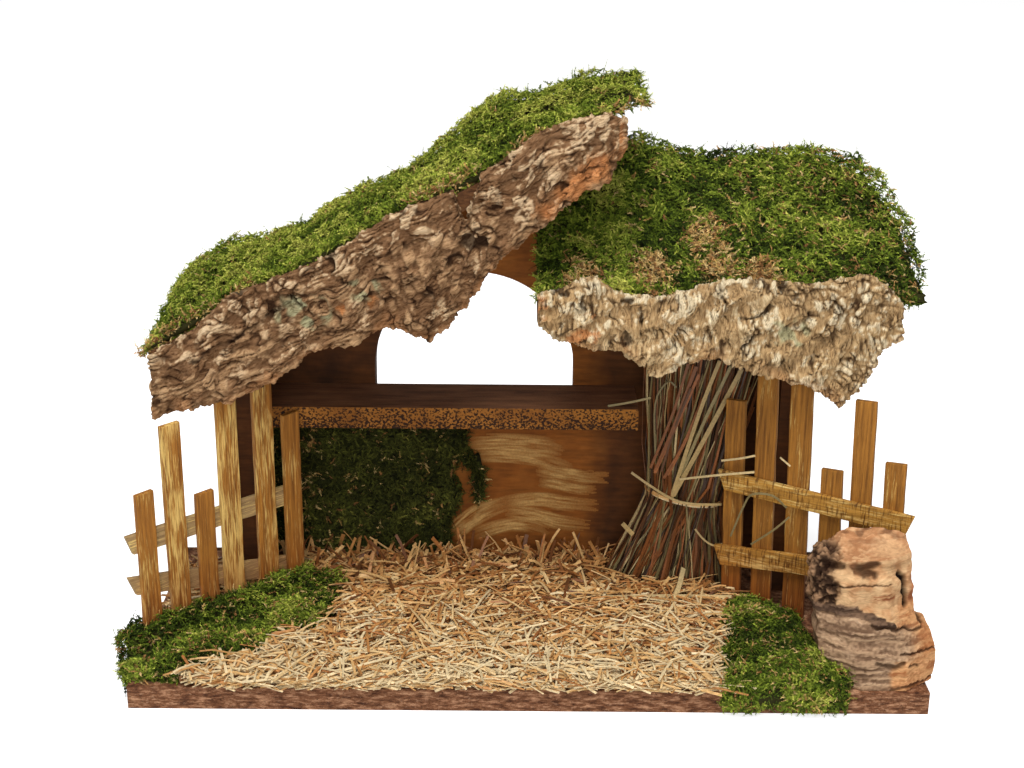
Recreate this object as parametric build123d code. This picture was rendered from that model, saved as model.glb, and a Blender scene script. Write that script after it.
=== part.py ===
from build123d import *
import os
from math import cos, hypot, pi, radians, sin, tan

# A wooden stable for a crib scene, in millimetres, +Z up.
# The origin is the middle of the base board's underside, and -Y is the open front.

# Allowances that serve every piece
overrun = 60.0            # how far a cutter runs past what it cuts
nail_clearance = 0.05     # room round a nail in its hole
soft_clearance = 0.3      # room between moss or straw and what it is packed round

# Base board
base_length = 400.0
base_depth = 160.0
base_thickness = 12.0

# House: back wall, two short side walls and the loft shelf
house_width = 307.0
house_place_share = 0.43   # share of the base's spare length that lies left of the house
back_wall_thickness = 12.0
side_wall_thickness = 12.0
side_wall_depth = 38.0
left_wall_height = 158.9  # outer height of the left wall above the base
shelf_rise = 108.0        # shelf top above the base
shelf_thickness = 12.0
shelf_sheaf_gap = 9.0     # from the shelf's free end to the sheaf's waist

# Arched window above the shelf
window_offset = 129.6     # from the house's left face to the window's middle
window_width = 110.6
window_stilt = 10.0       # straight stretch between the shelf and the arch
window_sill_drop = 6.0    # how far the opening runs down behind the shelf

# Roofs
roof_panel_thickness = 9.0
roof_rear_overhang = 6.0
roof_front_reach = 4.9    # from the fourth left picket's middle to the roofs' front edge
left_pitch = 28.0         # degrees, falling to the left
left_roof_overhang = 30.0
left_roof_run = 231.0
right_pitch = 27.5        # degrees, falling to the front
right_roof_offset = 163.0 # from the house's left face to the right roof's left edge
right_roof_overhang = 34.0
roof_step = 17.3          # the right roof's highest edge lies this far below the left roof

# Cork bark along the roofs' front edges
bark_thickness = 11.0
left_bark_height = 50.0
right_bark_height = 45.0
right_bark_overlap = 6.0  # past the right roof's right edge
crack_width = 9.0
crack_depth = 15.0
crack_place_share = 0.68

# Each bark row is place along the roof, edge above and edge below the roof's underside, bulge
left_bark_shares = (
    (-0.014, 0.18, 0.50, 0.60), (0.09, 0.23, 0.60, 0.95), (0.17, 0.39, 0.73, 0.85),
    (0.26, 0.33, 0.73, 1.00), (0.35, 0.28, 0.62, 0.80), (0.43, 0.28, 0.77, 1.00),
    (0.51, 0.36, 0.75, 0.85), (0.60, 0.33, 1.13, 1.00), (0.64, 0.29, 1.09, 0.80),
    (0.70, 0.27, 0.87, 0.95), (0.76, 0.34, 0.65, 0.75), (0.84, 0.42, 0.55, 1.00),
    (0.93, 0.32, 0.40, 0.85), (0.98, 0.25, 0.42, 0.90), (1.02, 0.08, 0.20, 0.55))
right_bark_shares = (
    (0.00, 0.34, 0.02, 0.60), (0.06, 0.41, 0.18, 0.85), (0.15, 0.56, 0.27, 1.00),
    (0.22, 0.36, 0.30, 0.75), (0.33, 0.32, 0.60, 0.95), (0.41, 0.40, 0.44, 0.80),
    (0.50, 0.51, 0.40, 1.00), (0.62, 0.53, 0.60, 0.85), (0.75, 0.49, 0.69, 1.00),
    (0.84, 0.56, 0.97, 0.90), (0.90, 0.61, 0.73, 0.75), (0.95, 0.46, 0.24, 0.95),
    (1.00, 0.24, 0.16, 0.60))
bark_lip_share = 0.62      # how far the thin top and bottom edges stand out
bark_level_shares = (0.13, 0.31, 0.50, 0.69, 0.87)  # heights of the knobs between those edges
bark_hollow_shares = (     # hollow at each of those heights, slice after slice
    (0.05, 0.34, 0.12, 0.46, 0.08), (0.42, 0.04, 0.50, 0.10, 0.30), (0.08, 0.38, 0.02, 0.26, 0.50),
    (0.30, 0.00, 0.44, 0.06, 0.14), (0.02, 0.48, 0.10, 0.40, 0.00), (0.36, 0.08, 0.28, 0.02, 0.46),
    (0.10, 0.26, 0.00, 0.50, 0.12))

# Moss mats on the roofs
roof_moss_thickness = 11.0
moss_rear_overhang = 5.0
left_moss_overhangs = (9.0, 8.0)  # past the left roof's left and right end
right_moss_overhangs = (20.0, 2.0) # past the right roof's right end, at its front and its back

# Each moss row is place along the roof, then height at the front, crown and back
left_moss_shares = (
    (0.00, 0.25, 0.45, 0.50), (0.05, 0.75, 1.20, 1.45), (0.13, 0.80, 1.30, 1.65),
    (0.22, 0.85, 1.05, 1.10), (0.31, 0.70, 0.95, 0.80), (0.42, 0.80, 1.20, 1.10),
    (0.53, 0.85, 0.95, 0.75), (0.66, 0.75, 1.20, 1.35), (0.74, 0.80, 1.35, 1.70),
    (0.82, 0.85, 0.95, 0.75), (0.91, 0.60, 0.70, 0.50), (0.96, 0.35, 0.45, 0.30),
    (1.00, 0.08, 0.12, 0.10))
right_moss_shares = (
    (0.00, 0.30, 0.45, 0.30), (0.06, 0.75, 0.85, 0.60), (0.20, 0.85, 1.00, 0.95),
    (0.30, 0.75, 1.10, 1.25), (0.40, 0.85, 0.90, 0.60), (0.50, 0.85, 0.85, 0.40),
    (0.60, 0.80, 0.95, 0.45), (0.70, 0.90, 0.95, 0.55), (0.83, 0.80, 0.85, 0.35),
    (0.92, 0.65, 0.55, 0.10), (1.00, 0.15, 0.15, 0.05))
moss_crown_share = 0.55    # where across the roof the crown runs

# Picket fences
picket_gap = 6.2           # between neighbours of average width
picket_thickness = 3.0
picket_slant = 0.6         # how far a picket's top falls across its width
left_fence_lean = 0.0      # degrees that the pickets' tops lean towards the first picket
right_fence_lean = 1.5
rail_height = 11.0
rail_thickness = 3.0
rail_end_slant = 4.0
left_fence_edge_inset = 5.2      # first left picket from the base's left edge
left_fence_front_inset = 42.8    # and from the base's front edge
left_fence_wall_offset = 31.7    # last left picket from the house's left face
left_fence_setback = 5.9         # and from the house's front
right_fence_wall_offset = 34.4   # first right picket from the house's right face
right_fence_setback = 12.0       # and from the house's front
right_fence_edge_inset = 10.2    # last right picket from the base's right edge
right_fence_front_inset = 58.0   # and from the base's front edge
left_rail_overhangs = (11.0, 8.0)
right_rail_overhangs = (10.0, 10.0)
left_upper_rail_rises = (59.0, 59.0)
left_lower_rail_rises = (36.0, 15.0)
right_upper_rail_rises = (72.5, 67.5)
right_lower_rail_rises = (28.0, 38.0)

# Picket heights as shares of the roof's height above the base there; 1 reaches the roof
left_picket_shares = (0.62, 0.814, 0.502, 1.0, 1.0, 0.61)
right_picket_shares = (0.648, 1.0, 1.0, 0.526, 0.785, 0.613)
left_picket_width_shares = (0.86, 0.95, 0.90, 1.00, 0.98, 0.88)
right_picket_width_shares = (0.96, 1.00, 1.08, 1.02, 1.00, 0.97)
left_picket_place_shares = (0.0, 0.19, 0.386, 0.559, 0.805, 1.0)
right_picket_place_shares = (0.0, 0.198, 0.412, 0.620, 0.803, 1.0)
full_height_share = 1.0

# Straw sheaf standing in the right back corner, tied at its waist
sheaf_wall_gap = 18.0      # from the right wall to the sheaf's foot
sheaf_back_gap = 3.0
sheaf_height = 163.0
sheaf_waist_rise = 53.0
sheaf_lean = 8.0           # how far the waist, and then the top, lies to the right
sheaf_foot_width = 76.0
sheaf_foot_depth = 38.0
sheaf_waist_width = 38.0
sheaf_waist_depth = 28.0
sheaf_top_width = 62.0
sheaf_top_depth = 34.0
stalk_count = 32
stalk_groove_share = 0.12
stalk_twist = 14.0         # degrees between the foot and the waist
tie_height = 4.0
tie_thickness = 2.0

# Moss on the back wall, beside the brush strokes
wall_moss_width = 111.0
wall_moss_thickness = 7.0
wall_moss_gap = 3.0        # from the left wall
wall_moss_outline_shares = (
    (0.00, 0.00), (0.93, 0.00), (0.90, 0.22), (0.96, 0.42), (0.92, 0.60), (1.00, 0.80),
    (0.98, 1.00), (0.50, 0.97), (0.00, 1.00))
tuft_width = 8.0
tuft_height = 33.0
tuft_rise = 38.0
tuft_gap = 2.0             # from the large patch
tuft_outline_shares = (
    (0.35, 0.00), (0.85, 0.08), (1.00, 0.35), (0.80, 0.80), (0.40, 1.00), (0.00, 0.75), (0.15, 0.30))

# Moss heaps in the front corners
left_heap_length = 105.0
left_heap_back_gap = 42.0  # from the heap's rear end to the base's back edge
left_heap_height = 12.0
left_heap_outline_shares = (
    (-0.09, 0.34), (0.00, 0.03), (0.22, 0.02), (0.40, 0.17), (0.58, 0.20), (0.68, 0.42),
    (0.85, 0.42), (0.94, 0.70), (0.96, 0.92), (0.72, 0.97), (0.40, 0.72), (0.07, 0.47))
right_heap_length = 72.0
right_heap_back_gap = 60.0
right_heap_height = 14.0
right_heap_inset = 35.0    # from the base's right edge
right_heap_outline_shares = (
    (0.12, 0.40), (0.05, 0.16), (0.06, -0.03), (0.24, -0.06), (0.45, -0.03), (0.68, -0.06),
    (0.90, -0.05), (0.97, 0.03), (0.82, 0.36), (0.76, 0.54), (0.70, 0.74), (0.40, 0.92),
    (0.22, 0.85), (0.17, 0.62))
heap_droop = 7.0           # how far a heap hangs below the base's top at its edge
heap_waist_share = 0.55
heap_waist_scale_share = 0.95
heap_top_scale_share = 0.55

# Broken bark stump in the right front corner
stump_width = 64.0
stump_depth = 42.0
stump_height = 69.0
stump_top_fall = 4.0       # the top's left side lies this far below its right side
stump_edge_overhang = 5.0  # past the base's right edge
stump_front_inset = 2.0
stump_corner_share = 0.28

# Each stump row is height, left and right side, front and back
stump_shares = (
    (0.00, 0.14, 0.98, 0.00, 1.00), (0.09, 0.10, 1.00, 0.03, 1.00), (0.25, 0.08, 0.99, 0.00, 0.98),
    (0.39, 0.05, 0.95, 0.09, 1.00), (0.45, 0.07, 0.83, 0.05, 0.98), (0.62, 0.02, 0.80, 0.20, 1.00),
    (0.80, 0.00, 0.77, 0.16, 0.97), (0.90, 0.00, 0.77, 0.26, 1.00), (1.00, 0.03, 0.76, 0.34, 0.94))

# Chopped straw on the floor
straw_thickness = 8.0
straw_front_inset = 1.0
straw_left_inset = 22.0
straw_right_inset = 46.0

# Nails: through the first piece and a bite into the second
nail_diameter = 1.8
nail_head_diameter = 4.0
nail_head_thickness = 1.0
nail_point_length = 3.0
nail_point_share = 0.25    # width left at the blunt point
nail_side_count = 8        # flats round a nail and its hole
nail_recess = 0.5          # heads under the base sit this far inside its underside
nail_bite = 14.0
roof_nail_bite = 9.0
base_nail_shares = (0.14, 0.50, 0.86)
roof_nail_shares = (0.20, 0.50, 0.80)
wall_nail_shares = (0.25, 0.75)
shelf_nail_shares = (0.12, 0.92)
half_share = 0.5

# Places worked out from the sizes above
base_left = -base_length / 2
base_right = base_length / 2
base_front = -base_depth / 2
base_back = base_depth / 2
base_top = base_thickness
house_left = base_left + (base_length - house_width) * house_place_share
house_right = house_left + house_width
left_wall_inside = house_left + side_wall_thickness
right_wall_inside = house_right - side_wall_thickness
wall_front = base_back - back_wall_thickness
house_front = wall_front - side_wall_depth
shelf_top = base_top + shelf_rise
shelf_bottom = shelf_top - shelf_thickness
window_sill = shelf_top - window_sill_drop
window_middle = house_left + window_offset
window_radius = window_width / 2
right_roof_left = house_left + right_roof_offset
right_roof_right = house_right + right_roof_overhang
left_roof_left = house_left - left_roof_overhang
left_roof_right = left_roof_left + left_roof_run
roof_back = base_back + roof_rear_overhang
left_heap_depth = base_depth - left_heap_back_gap
right_heap_depth = base_depth - right_heap_back_gap
left_roof_depth_above = roof_panel_thickness / cos(radians(left_pitch))
right_roof_depth_above = roof_panel_thickness / cos(radians(right_pitch))


def left_roof_under(x, y=0):
    """Height of the left roof's underside, which falls to the left."""
    return base_top + left_wall_height + (x - house_left) * tan(radians(left_pitch))


def right_roof_under(x, y):
    """Height of the right roof's underside, which falls to the front."""
    highest = left_roof_under(right_roof_left) - roof_step - right_roof_depth_above
    return highest - (roof_back - y) * tan(radians(right_pitch))


def polygon(corners):
    """A flat face through corner points in space."""
    return Face(Wire.make_polygon(corners, close=True))


def between(start, end, share):
    """The value a share of the way from start to end."""
    return start + (end - start) * share


def fence_line(first, last, place_shares):
    """Frames along a fence: one at each picket's foot, X along the fence and Z up."""
    direction = (last[0] - first[0], last[1] - first[1], 0)
    frames = []
    for share in place_shares:
        foot = (between(first[0], last[0], share), between(first[1], last[1], share), base_top)
        frames.append(Plane(origin=foot, x_dir=direction, z_dir=(0, 0, 1)))
    return frames


left_fence_first = (base_left + left_fence_edge_inset, base_front + left_fence_front_inset)
left_fence_last = (house_left + left_fence_wall_offset, house_front - left_fence_setback)
left_fence = fence_line(left_fence_first, left_fence_last, left_picket_place_shares)
right_fence_first = (house_right - right_fence_wall_offset, house_front - right_fence_setback)
right_fence_last = (base_right - right_fence_edge_inset, base_front + right_fence_front_inset)
right_fence = fence_line(right_fence_first, right_fence_last, right_picket_place_shares)

# Both roofs' front edges stand just before the first left picket that reaches the roof
roof_front = left_fence[left_picket_shares.index(full_height_share)].origin.Y - roof_front_reach


# Nails
def bar(diameter, top, bottom, end_share=1):
    """A bar with flat sides round the Z axis; end_share narrows its lower end."""
    upper = Pos(0, 0, top) * RegularPolygon(diameter / 2, nail_side_count)
    lower = Pos(0, 0, bottom) * RegularPolygon(diameter / 2 * end_share, nail_side_count)
    return loft([upper.face(), lower.face()], ruled=True)


def nail(head_frame, length):
    """A nail, its head's top on the frame and its point along the frame's -Z."""
    neck = nail_point_length - length
    head = bar(nail_head_diameter, 0, -nail_head_thickness)
    shank = bar(nail_diameter, -nail_head_thickness, neck)
    return head_frame * (head + shank + bar(nail_diameter, neck, -length, nail_point_share))


def nail_hole(head_frame, length):
    """The hole for a nail: a counterbore for the head and a bore for the shank."""
    counterbore = bar(nail_head_diameter + 2 * nail_clearance, overrun, -nail_head_thickness)
    bore = bar(nail_diameter + 2 * nail_clearance, -nail_head_thickness, -length - nail_clearance)
    return head_frame * (counterbore + bore)


def drill(piece, frames, length):
    """The piece with a nail's hole cut at each frame."""
    for frame in frames:
        piece = piece - nail_hole(frame, length)
    return piece


back_wall_middle = (wall_front + base_back) / 2
side_wall_middle = (house_front + wall_front) / 2
left_wall_middle = (house_left + left_wall_inside) / 2
right_wall_middle = (house_right + right_wall_inside) / 2
shelf_middle = (shelf_top + shelf_bottom) / 2

# Straw sheaf's places, which the shelf's free end and the floor straw keep clear of
sheaf_foot_x = right_wall_inside - sheaf_wall_gap - sheaf_foot_width / 2
sheaf_waist_x = sheaf_foot_x + sheaf_lean
sheaf_top_x = sheaf_waist_x + sheaf_lean
sheaf_y = wall_front - sheaf_back_gap - sheaf_foot_depth / 2
shelf_end = sheaf_waist_x - sheaf_waist_width / 2 - shelf_sheaf_gap


def base_nail_frames():
    """Nails up through the base into the back wall and both side walls."""
    places = [(between(house_left, house_right, share), back_wall_middle) for share in base_nail_shares]
    places += [(left_wall_middle, side_wall_middle), (right_wall_middle, side_wall_middle)]
    return [Plane(origin=(x, y, nail_recess), z_dir=(0, 0, -1)) for x, y in places]


def wall_nail_frames():
    """Nails through the back wall into the side walls and the shelf's back edge."""
    left_reach = left_roof_under(house_left)
    right_reach = right_roof_under(house_right, wall_front)
    places = [(left_wall_middle, between(base_top, left_reach, share)) for share in wall_nail_shares]
    places += [(right_wall_middle, between(base_top, right_reach, share)) for share in wall_nail_shares]
    places += [(between(left_wall_inside, shelf_end, share), shelf_middle) for share in shelf_nail_shares]
    return [Plane(origin=(x, base_back, z), z_dir=(0, 1, 0)) for x, z in places]


def left_roof_nail_frames():
    """Nails square through the left roof, their bites centred in the walls below."""
    pitch = radians(left_pitch)
    drift = roof_nail_bite / 2 * sin(pitch)
    places = [(between(house_left, right_roof_left, share), back_wall_middle) for share in roof_nail_shares]
    places += [(left_wall_middle - drift, side_wall_middle)]
    frames = []
    for x, y in places:
        head = (x - roof_panel_thickness * sin(pitch), y,
                left_roof_under(x) + roof_panel_thickness * cos(pitch))
        frames.append(Plane(origin=head, z_dir=(-sin(pitch), 0, cos(pitch))))
    return frames


def right_roof_nail_frames():
    """Nails square through the right roof, their bites centred in the walls below."""
    pitch = radians(right_pitch)
    drift = roof_nail_bite / 2 * sin(pitch)
    places = [(between(right_roof_left, house_right, share), back_wall_middle) for share in roof_nail_shares]
    places += [(right_wall_middle, side_wall_middle)]
    frames = []
    for x, y in places:
        head = (x, y - drift - roof_panel_thickness * sin(pitch),
                right_roof_under(x, y - drift) + roof_panel_thickness * cos(pitch))
        frames.append(Plane(origin=head, z_dir=(0, -sin(pitch), cos(pitch))))
    return frames


base_nail_length = base_thickness - nail_recess + nail_bite
wall_nail_length = back_wall_thickness + nail_bite
roof_nail_length = roof_panel_thickness + roof_nail_bite


# Boards of the house
def board(x_span, y_span, z_span):
    """A plain board between two corners."""
    size = (x_span[1] - x_span[0], y_span[1] - y_span[0], z_span[1] - z_span[0])
    return Pos(x_span[0], y_span[0], z_span[0]) * Box(*size, align=(Align.MIN, Align.MIN, Align.MIN))


def above_left_roof():
    """Everything above the left roof's underside, to trim what stands below it."""
    left = left_roof_left - overrun
    right = left_roof_right + overrun
    ceiling = left_roof_under(right) + overrun
    corners = [(left, roof_back, left_roof_under(left)), (right, roof_back, left_roof_under(right)),
               (right, roof_back, ceiling), (left, roof_back, ceiling)]
    return extrude(polygon(corners), amount=base_depth + overrun, dir=(0, -1, 0))


def above_right_roof():
    """Everything above the right roof's underside, right of its left edge."""
    front = base_front - overrun
    back = roof_back + overrun
    ceiling = left_roof_under(left_roof_right) + overrun
    corners = [(right_roof_left, front, right_roof_under(0, front)),
               (right_roof_left, back, right_roof_under(0, back)),
               (right_roof_left, back, ceiling), (right_roof_left, front, ceiling)]
    return extrude(polygon(corners), amount=base_length + overrun, dir=(1, 0, 0))


def base_board():
    """The base, drilled from below for the nails that hold the walls."""
    plain = board((base_left, base_right), (base_front, base_back), (0, base_top))
    return drill(plain, base_nail_frames(), base_nail_length)


def window_opening():
    """The window's cutter: straight jambs under a half-round arch."""
    behind = base_back + overrun
    spring = shelf_top + window_stilt
    west = (window_middle - window_radius, behind, spring)
    east = (window_middle + window_radius, behind, spring)
    arch = ThreePointArc(west, (window_middle, behind, spring + window_radius), east)
    jambs = Polyline(east, (east[0], behind, window_sill), (west[0], behind, window_sill), west)
    return extrude(make_face([arch, jambs]), amount=back_wall_thickness + 2 * overrun, dir=(0, -1, 0))


def back_wall():
    """The back wall, its top following both roofs and its window above the shelf."""
    corners = [(house_left, base_back, base_top), (house_right, base_back, base_top),
               (house_right, base_back, left_roof_under(right_roof_left)),
               (right_roof_left, base_back, left_roof_under(right_roof_left)),
               (house_left, base_back, left_roof_under(house_left))]
    wall = extrude(polygon(corners), amount=back_wall_thickness, dir=(0, -1, 0))
    wall = wall - above_right_roof() - window_opening()
    wall = drill(wall, base_nail_frames(), base_nail_length)
    wall = drill(wall, wall_nail_frames(), wall_nail_length)
    return drill(wall, left_roof_nail_frames() + right_roof_nail_frames(), roof_nail_length)


def side_wall(left, right, trim, roof_frames):
    """A side wall, trimmed under its roof and drilled for its nails."""
    tall = left_roof_under(left_roof_right)
    wall = board((left, right), (house_front, wall_front), (base_top, tall)) - trim
    wall = drill(wall, base_nail_frames(), base_nail_length)
    wall = drill(wall, wall_nail_frames(), wall_nail_length)
    return drill(wall, roof_frames, roof_nail_length)


def loft_shelf():
    """The shelf between the left wall and its free end beside the sheaf."""
    plain = board((left_wall_inside, shelf_end), (house_front, wall_front), (shelf_bottom, shelf_top))
    return drill(plain, wall_nail_frames(), wall_nail_length)


def left_roof_panel():
    """The left roof board, with square-cut ends."""
    pitch = radians(left_pitch)
    rise = roof_panel_thickness * cos(pitch)
    shift = roof_panel_thickness * sin(pitch)
    low = left_roof_under(left_roof_left)
    high = left_roof_under(left_roof_right)
    corners = [(left_roof_left, roof_front, low), (left_roof_right, roof_front, high),
               (left_roof_right - shift, roof_front, high + rise),
               (left_roof_left - shift, roof_front, low + rise)]
    panel = extrude(polygon(corners), amount=roof_back - roof_front, dir=(0, 1, 0))
    return drill(panel, left_roof_nail_frames(), roof_nail_length)


def right_roof_panel():
    """The right roof board, cut plumb at the front for the bark."""
    pitch = radians(right_pitch)
    low = right_roof_under(0, roof_front)
    high = right_roof_under(0, roof_back)
    corners = [(right_roof_left, roof_front, low), (right_roof_left, roof_back, high),
               (right_roof_left, roof_back - roof_panel_thickness * sin(pitch),
                high + roof_panel_thickness * cos(pitch)),
               (right_roof_left, roof_front, low + right_roof_depth_above)]
    panel = extrude(polygon(corners), amount=right_roof_right - right_roof_left, dir=(1, 0, 0))
    return drill(panel, right_roof_nail_frames(), roof_nail_length)


# Cork bark
def halved(rows):
    """A table's rows with one more halfway between each two."""
    finer = [rows[0]]
    for before, after in zip(rows, rows[1:]):
        finer.append(tuple(between(a, b, half_share) for a, b in zip(before, after)))
        finer.append(after)
    return finer


def faceted(sections):
    """A solid with flat three-cornered faces between slices of matching corners."""
    faces = [polygon(sections[0]), polygon(sections[-1])]
    for before, after in zip(sections, sections[1:]):
        for index in range(len(before)):
            faces.append(polygon([before[index - 1], before[index], after[index]]))
            faces.append(polygon([before[index - 1], after[index], after[index - 1]]))
    return Solid(Shell(faces))


def bark_section(x, top, bottom, bulge, row):
    """Corners of a slice across the bark: flat at the back, knobbly at the front, thin at both edges."""
    lip = roof_front - bark_thickness * bulge * bark_lip_share
    corners = [(x, roof_front, bottom), (x, lip, bottom)]
    hollows = bark_hollow_shares[row % len(bark_hollow_shares)]
    for level, hollow in zip(bark_level_shares, hollows):
        face = roof_front - bark_thickness * bulge * (1 - hollow)
        corners.append((x, face, between(bottom, top, level)))
    return corners + [(x, lip, top), (x, roof_front, top)]


def bark_strip(shares, left, right, height, under):
    """A strip of bark with uneven edges, following the roof's front edge."""
    sections = []
    for row, (place, above, below, bulge) in enumerate(halved(shares)):
        x = between(left, right, place)
        level = under(x, roof_front)
        sections.append(bark_section(x, level + above * height, level - below * height, bulge, row))
    return faceted(sections)


def left_roof_bark():
    """The left strip, with the deep crack in its upper edge."""
    strip = bark_strip(left_bark_shares, left_roof_left, left_roof_right, left_bark_height, left_roof_under)
    x = between(left_roof_left, left_roof_right, crack_place_share)
    level = left_roof_under(x)
    mouth = level + left_bark_height
    tip = level + left_bark_height * left_bark_shares[0][1] - crack_depth
    widen = crack_width / 2 * (mouth - tip) / crack_depth
    wedge = polygon([(x, roof_front + overrun, tip), (x + widen, roof_front + overrun, mouth),
                     (x - widen, roof_front + overrun, mouth)])
    return strip - extrude(wedge, amount=2 * overrun, dir=(0, -1, 0))


def right_roof_bark():
    """The right strip, running a little past the roof's right edge."""
    right = right_roof_right + right_bark_overlap
    return bark_strip(right_bark_shares, right_roof_left, right, right_bark_height, right_roof_under)


# Moss
def roof_moss(shares, left, rights, under, depth_above):
    """A lumpy mat lying on a roof behind its bark; rights are its right end at the front and back."""
    front = roof_front + soft_clearance
    back = roof_back + moss_rear_overhang
    sections = []
    for place, front_share, crown_height_share, back_share in shares:
        floor = []
        for depth_share in (0, moss_crown_share, 1):
            x = between(left, between(*rights, depth_share), place)
            y = between(front, back, depth_share)
            floor.append((x, y, under(x, y) + depth_above))
        heights = [front_share, crown_height_share, back_share]
        surface = [(x, y, z + share * roof_moss_thickness) for (x, y, z), share in zip(floor, heights)]
        sections.append(polygon([floor[0]] + surface + [floor[2]]))
    return loft(sections, ruled=True)


def left_roof_moss():
    """The left mat, hanging over both ends of its roof."""
    left = left_roof_left - left_moss_overhangs[0]
    right = left_roof_right + left_moss_overhangs[1]
    return roof_moss(left_moss_shares, left, (right, right), left_roof_under, left_roof_depth_above)


def right_roof_moss():
    """The right mat, hanging over the roof's right end, most of all at the front."""
    rights = [right_roof_right + overhang for overhang in right_moss_overhangs]
    return roof_moss(right_moss_shares, right_roof_left, rights, right_roof_under, right_roof_depth_above)


def wall_patch(shares, left, bottom, width, height):
    """A patch of moss glued flat on the back wall."""
    corners = [(left + u * width, wall_front, bottom + v * height) for u, v in shares]
    return extrude(polygon(corners), amount=wall_moss_thickness, dir=(0, -1, 0))


wall_moss_left = left_wall_inside + wall_moss_gap
wall_moss_height = shelf_bottom - base_top - soft_clearance


def back_wall_moss():
    """The large patch under the shelf."""
    return wall_patch(wall_moss_outline_shares, wall_moss_left, base_top, wall_moss_width, wall_moss_height)


def wall_moss_tuft():
    """The small tuft right of the large patch."""
    left = wall_moss_left + wall_moss_width + tuft_gap
    return wall_patch(tuft_outline_shares, left, base_top + tuft_rise, tuft_width, tuft_height)


def heap_outline(shares, left, length, depth):
    """Plan points of a corner heap, measured from the base's front edge."""
    return [(left + u * length, base_front + v * depth) for u, v in shares]


def heap(points, height):
    """A domed heap that lies on the base and hangs a little over its edges."""
    middle_x = sum(x for x, y in points) / len(points)
    middle_y = sum(y for x, y in points) / len(points)
    bottom = base_top - heap_droop
    waist = base_top + height * heap_waist_share
    levels = [(bottom, 1), (waist, heap_waist_scale_share), (base_top + height, heap_top_scale_share)]
    sections = []
    for level, scale_share in levels:
        sections.append(polygon([(between(middle_x, x, scale_share), between(middle_y, y, scale_share), level)
                                 for x, y in points]))
    base_block = board((base_left, base_right), (base_front, base_back), (-overrun, base_top))
    return loft(sections, ruled=True) - base_block


def around_left_wall():
    """The left wall's foot and the room round it that the corner heap keeps clear of."""
    return board((house_left - soft_clearance, left_wall_inside + soft_clearance),
                 (house_front - soft_clearance, wall_front), (base_top, shelf_top))


# Fences
def picket(frame, height, width, lean, grow=0):
    """A picket standing on its frame, its top leaning and slanted; grow swells it as a cutter."""
    half = width / 2 + grow
    back = picket_thickness / 2 + grow
    shift = height * tan(radians(lean))
    corners = [(-half, back, 0), (half, back, 0), (half - shift, back, height + grow),
               (-half - shift, back, height + grow - picket_slant)]
    return frame * extrude(polygon(corners), amount=picket_thickness + 2 * grow, dir=(0, -1, 0))


def pickets(frames, shares, width_shares, lean, under, trim, grow=0):
    """A fence's pickets; those with the full share are trimmed under the roof."""
    result = []
    pitch = (frames[-1].origin - frames[0].origin).length / (len(frames) - 1)
    for frame, share, width_share in zip(frames, shares, width_shares):
        foot = frame.origin
        clear = under(foot.X, foot.Y) - base_top
        width = (pitch - picket_gap) * width_share
        if share == full_height_share:
            result.append(picket(frame, clear + overrun, width, lean, grow) - trim)
        else:
            result.append(picket(frame, clear * share, width, lean, grow))
    return result


def rail(frames, rises, overhangs, side, grow=0):
    """A rail along the fence; side is 1 behind the pickets and -1 in front of them."""
    run = hypot(frames[-1].origin.X - frames[0].origin.X, frames[-1].origin.Y - frames[0].origin.Y)
    start = -overhangs[0] - grow
    end = run + overhangs[1] + grow
    half = rail_height / 2 + grow
    near = side * (picket_thickness / 2 - grow)
    corners = [(start + rail_end_slant, near, rises[0] - half), (end - rail_end_slant, near, rises[1] - half),
               (end, near, rises[1] + half), (start, near, rises[0] + half)]
    return frames[0] * extrude(polygon(corners), amount=rail_thickness + 2 * grow, dir=(0, side, 0))


def left_fence_pieces(grow=0):
    """The left fence: pickets, with the upper and lower rail behind them."""
    trim = above_left_roof()
    boards = pickets(left_fence, left_picket_shares, left_picket_width_shares, left_fence_lean,
                     left_roof_under, trim, grow)
    upper = rail(left_fence, left_upper_rail_rises, left_rail_overhangs, 1, grow)
    lower = rail(left_fence, left_lower_rail_rises, left_rail_overhangs, 1, grow)
    return boards, [upper, lower]


def right_fence_pieces(grow=0):
    """The right fence: pickets, with the upper and lower rail in front of them."""
    trim = above_right_roof()
    boards = pickets(right_fence, right_picket_shares, right_picket_width_shares, right_fence_lean,
                     right_roof_under, trim, grow)
    upper = rail(right_fence, right_upper_rail_rises, right_rail_overhangs, -1, grow)
    lower = rail(right_fence, right_lower_rail_rises, right_rail_overhangs, -1, grow)
    return boards, [upper, lower]


# Stump
def stump(grow=0):
    """The broken stump, stacked from uneven eight-sided slices; grow swells it as a cutter."""
    left = base_right + stump_edge_overhang - stump_width
    front = base_front + stump_front_inset
    sections = []
    for rise, west, east, near, far in stump_shares:
        x0 = left + west * stump_width - grow
        x1 = left + east * stump_width + grow
        y0 = front + near * stump_depth - grow
        y1 = front + far * stump_depth + grow
        cut_x = (x1 - x0) * stump_corner_share
        cut_y = (y1 - y0) * stump_corner_share
        plan = [(x0 + cut_x, y0), (x1 - cut_x, y0), (x1, y0 + cut_y), (x1, y1 - cut_y),
                (x1 - cut_x, y1), (x0 + cut_x, y1), (x0, y1 - cut_y), (x0, y0 + cut_y)]
        slope = rise * stump_top_fall / stump_width
        level = base_top + rise * stump_height
        sections.append(polygon([(x, y, level - slope * (left + stump_width - x)) for x, y in plan]))
    return loft(sections, ruled=True)


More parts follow.
